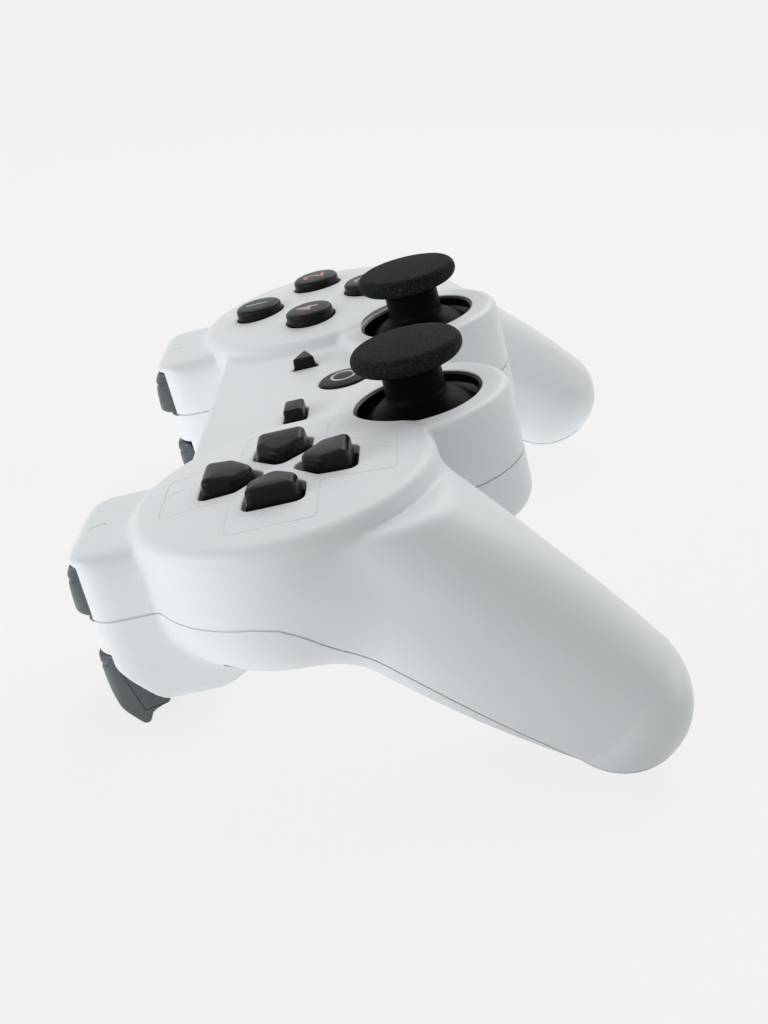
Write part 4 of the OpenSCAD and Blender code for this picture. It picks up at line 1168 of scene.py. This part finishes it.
# Camera at the photograph's viewing angle, placed in the pad's own frame
IMAGE_HEIGHT = 1024
FOCAL_PIXELS = 1490
EYE = Vector((-267.38, -42.36, 86.98))
AHEAD = Vector((0.9088, 0.1145, -0.4012))
RIGHT = Vector((0.0163, -0.9706, -0.2401))
ahead = AHEAD.normalized()
right = (RIGHT - ahead * RIGHT.dot(ahead)).normalized()
above = right.cross(ahead)
look = Matrix((right, above, -ahead)).transposed().to_4x4()
lens = bpy.data.cameras.new("camera")
lens.sensor_fit = "VERTICAL"
lens.sensor_height = 36
lens.lens = FOCAL_PIXELS * lens.sensor_height / IMAGE_HEIGHT
lens.clip_start = 0.01
camera = add_object("camera", lens)
camera.matrix_world = PAD @ Matrix.Translation(EYE * MM) @ look
bpy.context.scene.camera = camera

# Floor, lamps and surroundings
BACKGROUND = (0.885, 0.885, 0.885, 1)
FLOOR_COLOUR = (0.80, 0.80, 0.80, 1)
FLOOR_FAINT = (0.12, 0.12, 0.12, 1)
FLOOR_GLOW = 0.80
FLOOR_CORNERS = [(-6, -6, 0), (6, -6, 0), (6, 6, 0), (-6, 6, 0)]
DARK_SKY = (0.19, 0.19, 0.19, 1)
BRIGHT_SKY = (0.71, 0.71, 0.71, 1)
SHADOW_REACH = (0.22, 0.55)
BRIGHT_SIDE = (0.3, 0.65, 0.7)


def seen_directly(nodes, link):
    """One for the rays that show the background itself: camera, glossy and transmission rays."""
    path = nodes.new("ShaderNodeLightPath")
    seen = path.outputs["Is Camera Ray"]
    for name in ("Is Glossy Ray", "Is Transmission Ray"):
        either = nodes.new("ShaderNodeMath")
        either.operation = "MAXIMUM"
        link(seen, either.inputs[0])
        link(path.outputs[name], either.inputs[1])
        seen = either.outputs["Value"]
    return seen


floor = mesh_object("floor", FLOOR_CORNERS, [(0, 1, 2, 3)])
mat = bpy.data.materials.new("floor")
mat.use_nodes = True
nodes = mat.node_tree.nodes
link = mat.node_tree.links.new
nodes.remove(nodes["Principled BSDF"])
matte = nodes.new("ShaderNodeBsdfDiffuse")
matte.inputs["Color"].default_value = FLOOR_COLOUR
faint = nodes.new("ShaderNodeBsdfDiffuse")
faint.inputs["Color"].default_value = FLOOR_FAINT
glow = nodes.new("ShaderNodeEmission")
glow.inputs["Strength"].default_value = FLOOR_GLOW
both = nodes.new("ShaderNodeAddShader")
link(faint.outputs["BSDF"], both.inputs[0])
link(glow.outputs["Emission"], both.inputs[1])
# Far from the part the floor takes the backdrop's even tone, so no horizon shows
even = nodes.new("ShaderNodeEmission")
even.inputs["Color"].default_value = BACKGROUND
place = nodes.new("ShaderNodeNewGeometry")
reach = nodes.new("ShaderNodeVectorMath")
reach.operation = "LENGTH"
link(place.outputs["Position"], reach.inputs[0])
fade = nodes.new("ShaderNodeMapRange")
fade.inputs["From Min"].default_value = SHADOW_REACH[0]
fade.inputs["From Max"].default_value = SHADOW_REACH[1]
link(reach.outputs["Value"], fade.inputs["Value"])
ground = nodes.new("ShaderNodeMixShader")
link(fade.outputs["Result"], ground.inputs["Fac"])
link(both.outputs["Shader"], ground.inputs[1])
link(even.outputs["Emission"], ground.inputs[2])
choose = nodes.new("ShaderNodeMixShader")
link(seen_directly(nodes, link), choose.inputs["Fac"])
link(matte.outputs["BSDF"], choose.inputs[1])
link(ground.outputs["Shader"], choose.inputs[2])
link(choose.outputs["Shader"], nodes["Material Output"].inputs["Surface"])
floor.data.materials.append(mat)

world = bpy.data.worlds.new("studio")
world.use_nodes = True
bpy.context.scene.world = world
nodes = world.node_tree.nodes
link = world.node_tree.links.new
light = nodes["Background"]
light.inputs["Strength"].default_value = 1.0
coords = nodes.new("ShaderNodeTexCoord")
side = nodes.new("ShaderNodeVectorMath")
side.operation = "DOT_PRODUCT"
side.inputs[1].default_value = BRIGHT_SIDE
link(coords.outputs["Generated"], side.inputs[0])
ramp = nodes.new("ShaderNodeValToRGB")
ramp.color_ramp.elements[0].color = DARK_SKY
ramp.color_ramp.elements[1].color = BRIGHT_SKY
link(side.outputs["Value"], ramp.inputs["Fac"])
link(ramp.outputs["Color"], light.inputs["Color"])
backdrop = nodes.new("ShaderNodeBackground")
backdrop.inputs["Color"].default_value = BACKGROUND
choose = nodes.new("ShaderNodeMixShader")
link(seen_directly(nodes, link), choose.inputs["Fac"])
link(light.outputs["Background"], choose.inputs[1])
link(backdrop.outputs["Background"], choose.inputs[2])
link(choose.outputs["Shader"], nodes["World Output"].inputs["Surface"])


def softbox(name, place, target, size, power):
    """A flat lamp, in metres and watts, that lights the scene but isn't seen."""
    lamp = bpy.data.lights.new(name, "AREA")
    lamp.shape = "RECTANGLE"
    lamp.size, lamp.size_y = size
    lamp.energy = power
    obj = add_object(name, lamp)
    obj.location = place
    obj.rotation_euler = (Vector(target) - Vector(place)).to_track_quat("-Z", "Y").to_euler()
    obj.visible_camera = False
    return obj


softbox("key", (0.92, -0.34, 1.0), (0, 0, 0.02), (0.9, 0.9), 6.9)
softbox("rim", (0.05, -1.05, 0.3), (0, 0, 0.03), (0.8, 0.5), 2.4)
softbox("back", (-0.5, 0.87, 0.12), (-0.04, 0, 0.03), (0.9, 0.4), 4.0)
table = softbox("light_table", (0.395, 0.886, 0.0003), (0.395, 0.886, 1), (2, 2.4), 8.0)
table.rotation_euler.z = math.radians(66)
table.visible_glossy = False

bpy.context.scene.view_settings.view_transform = "Standard"
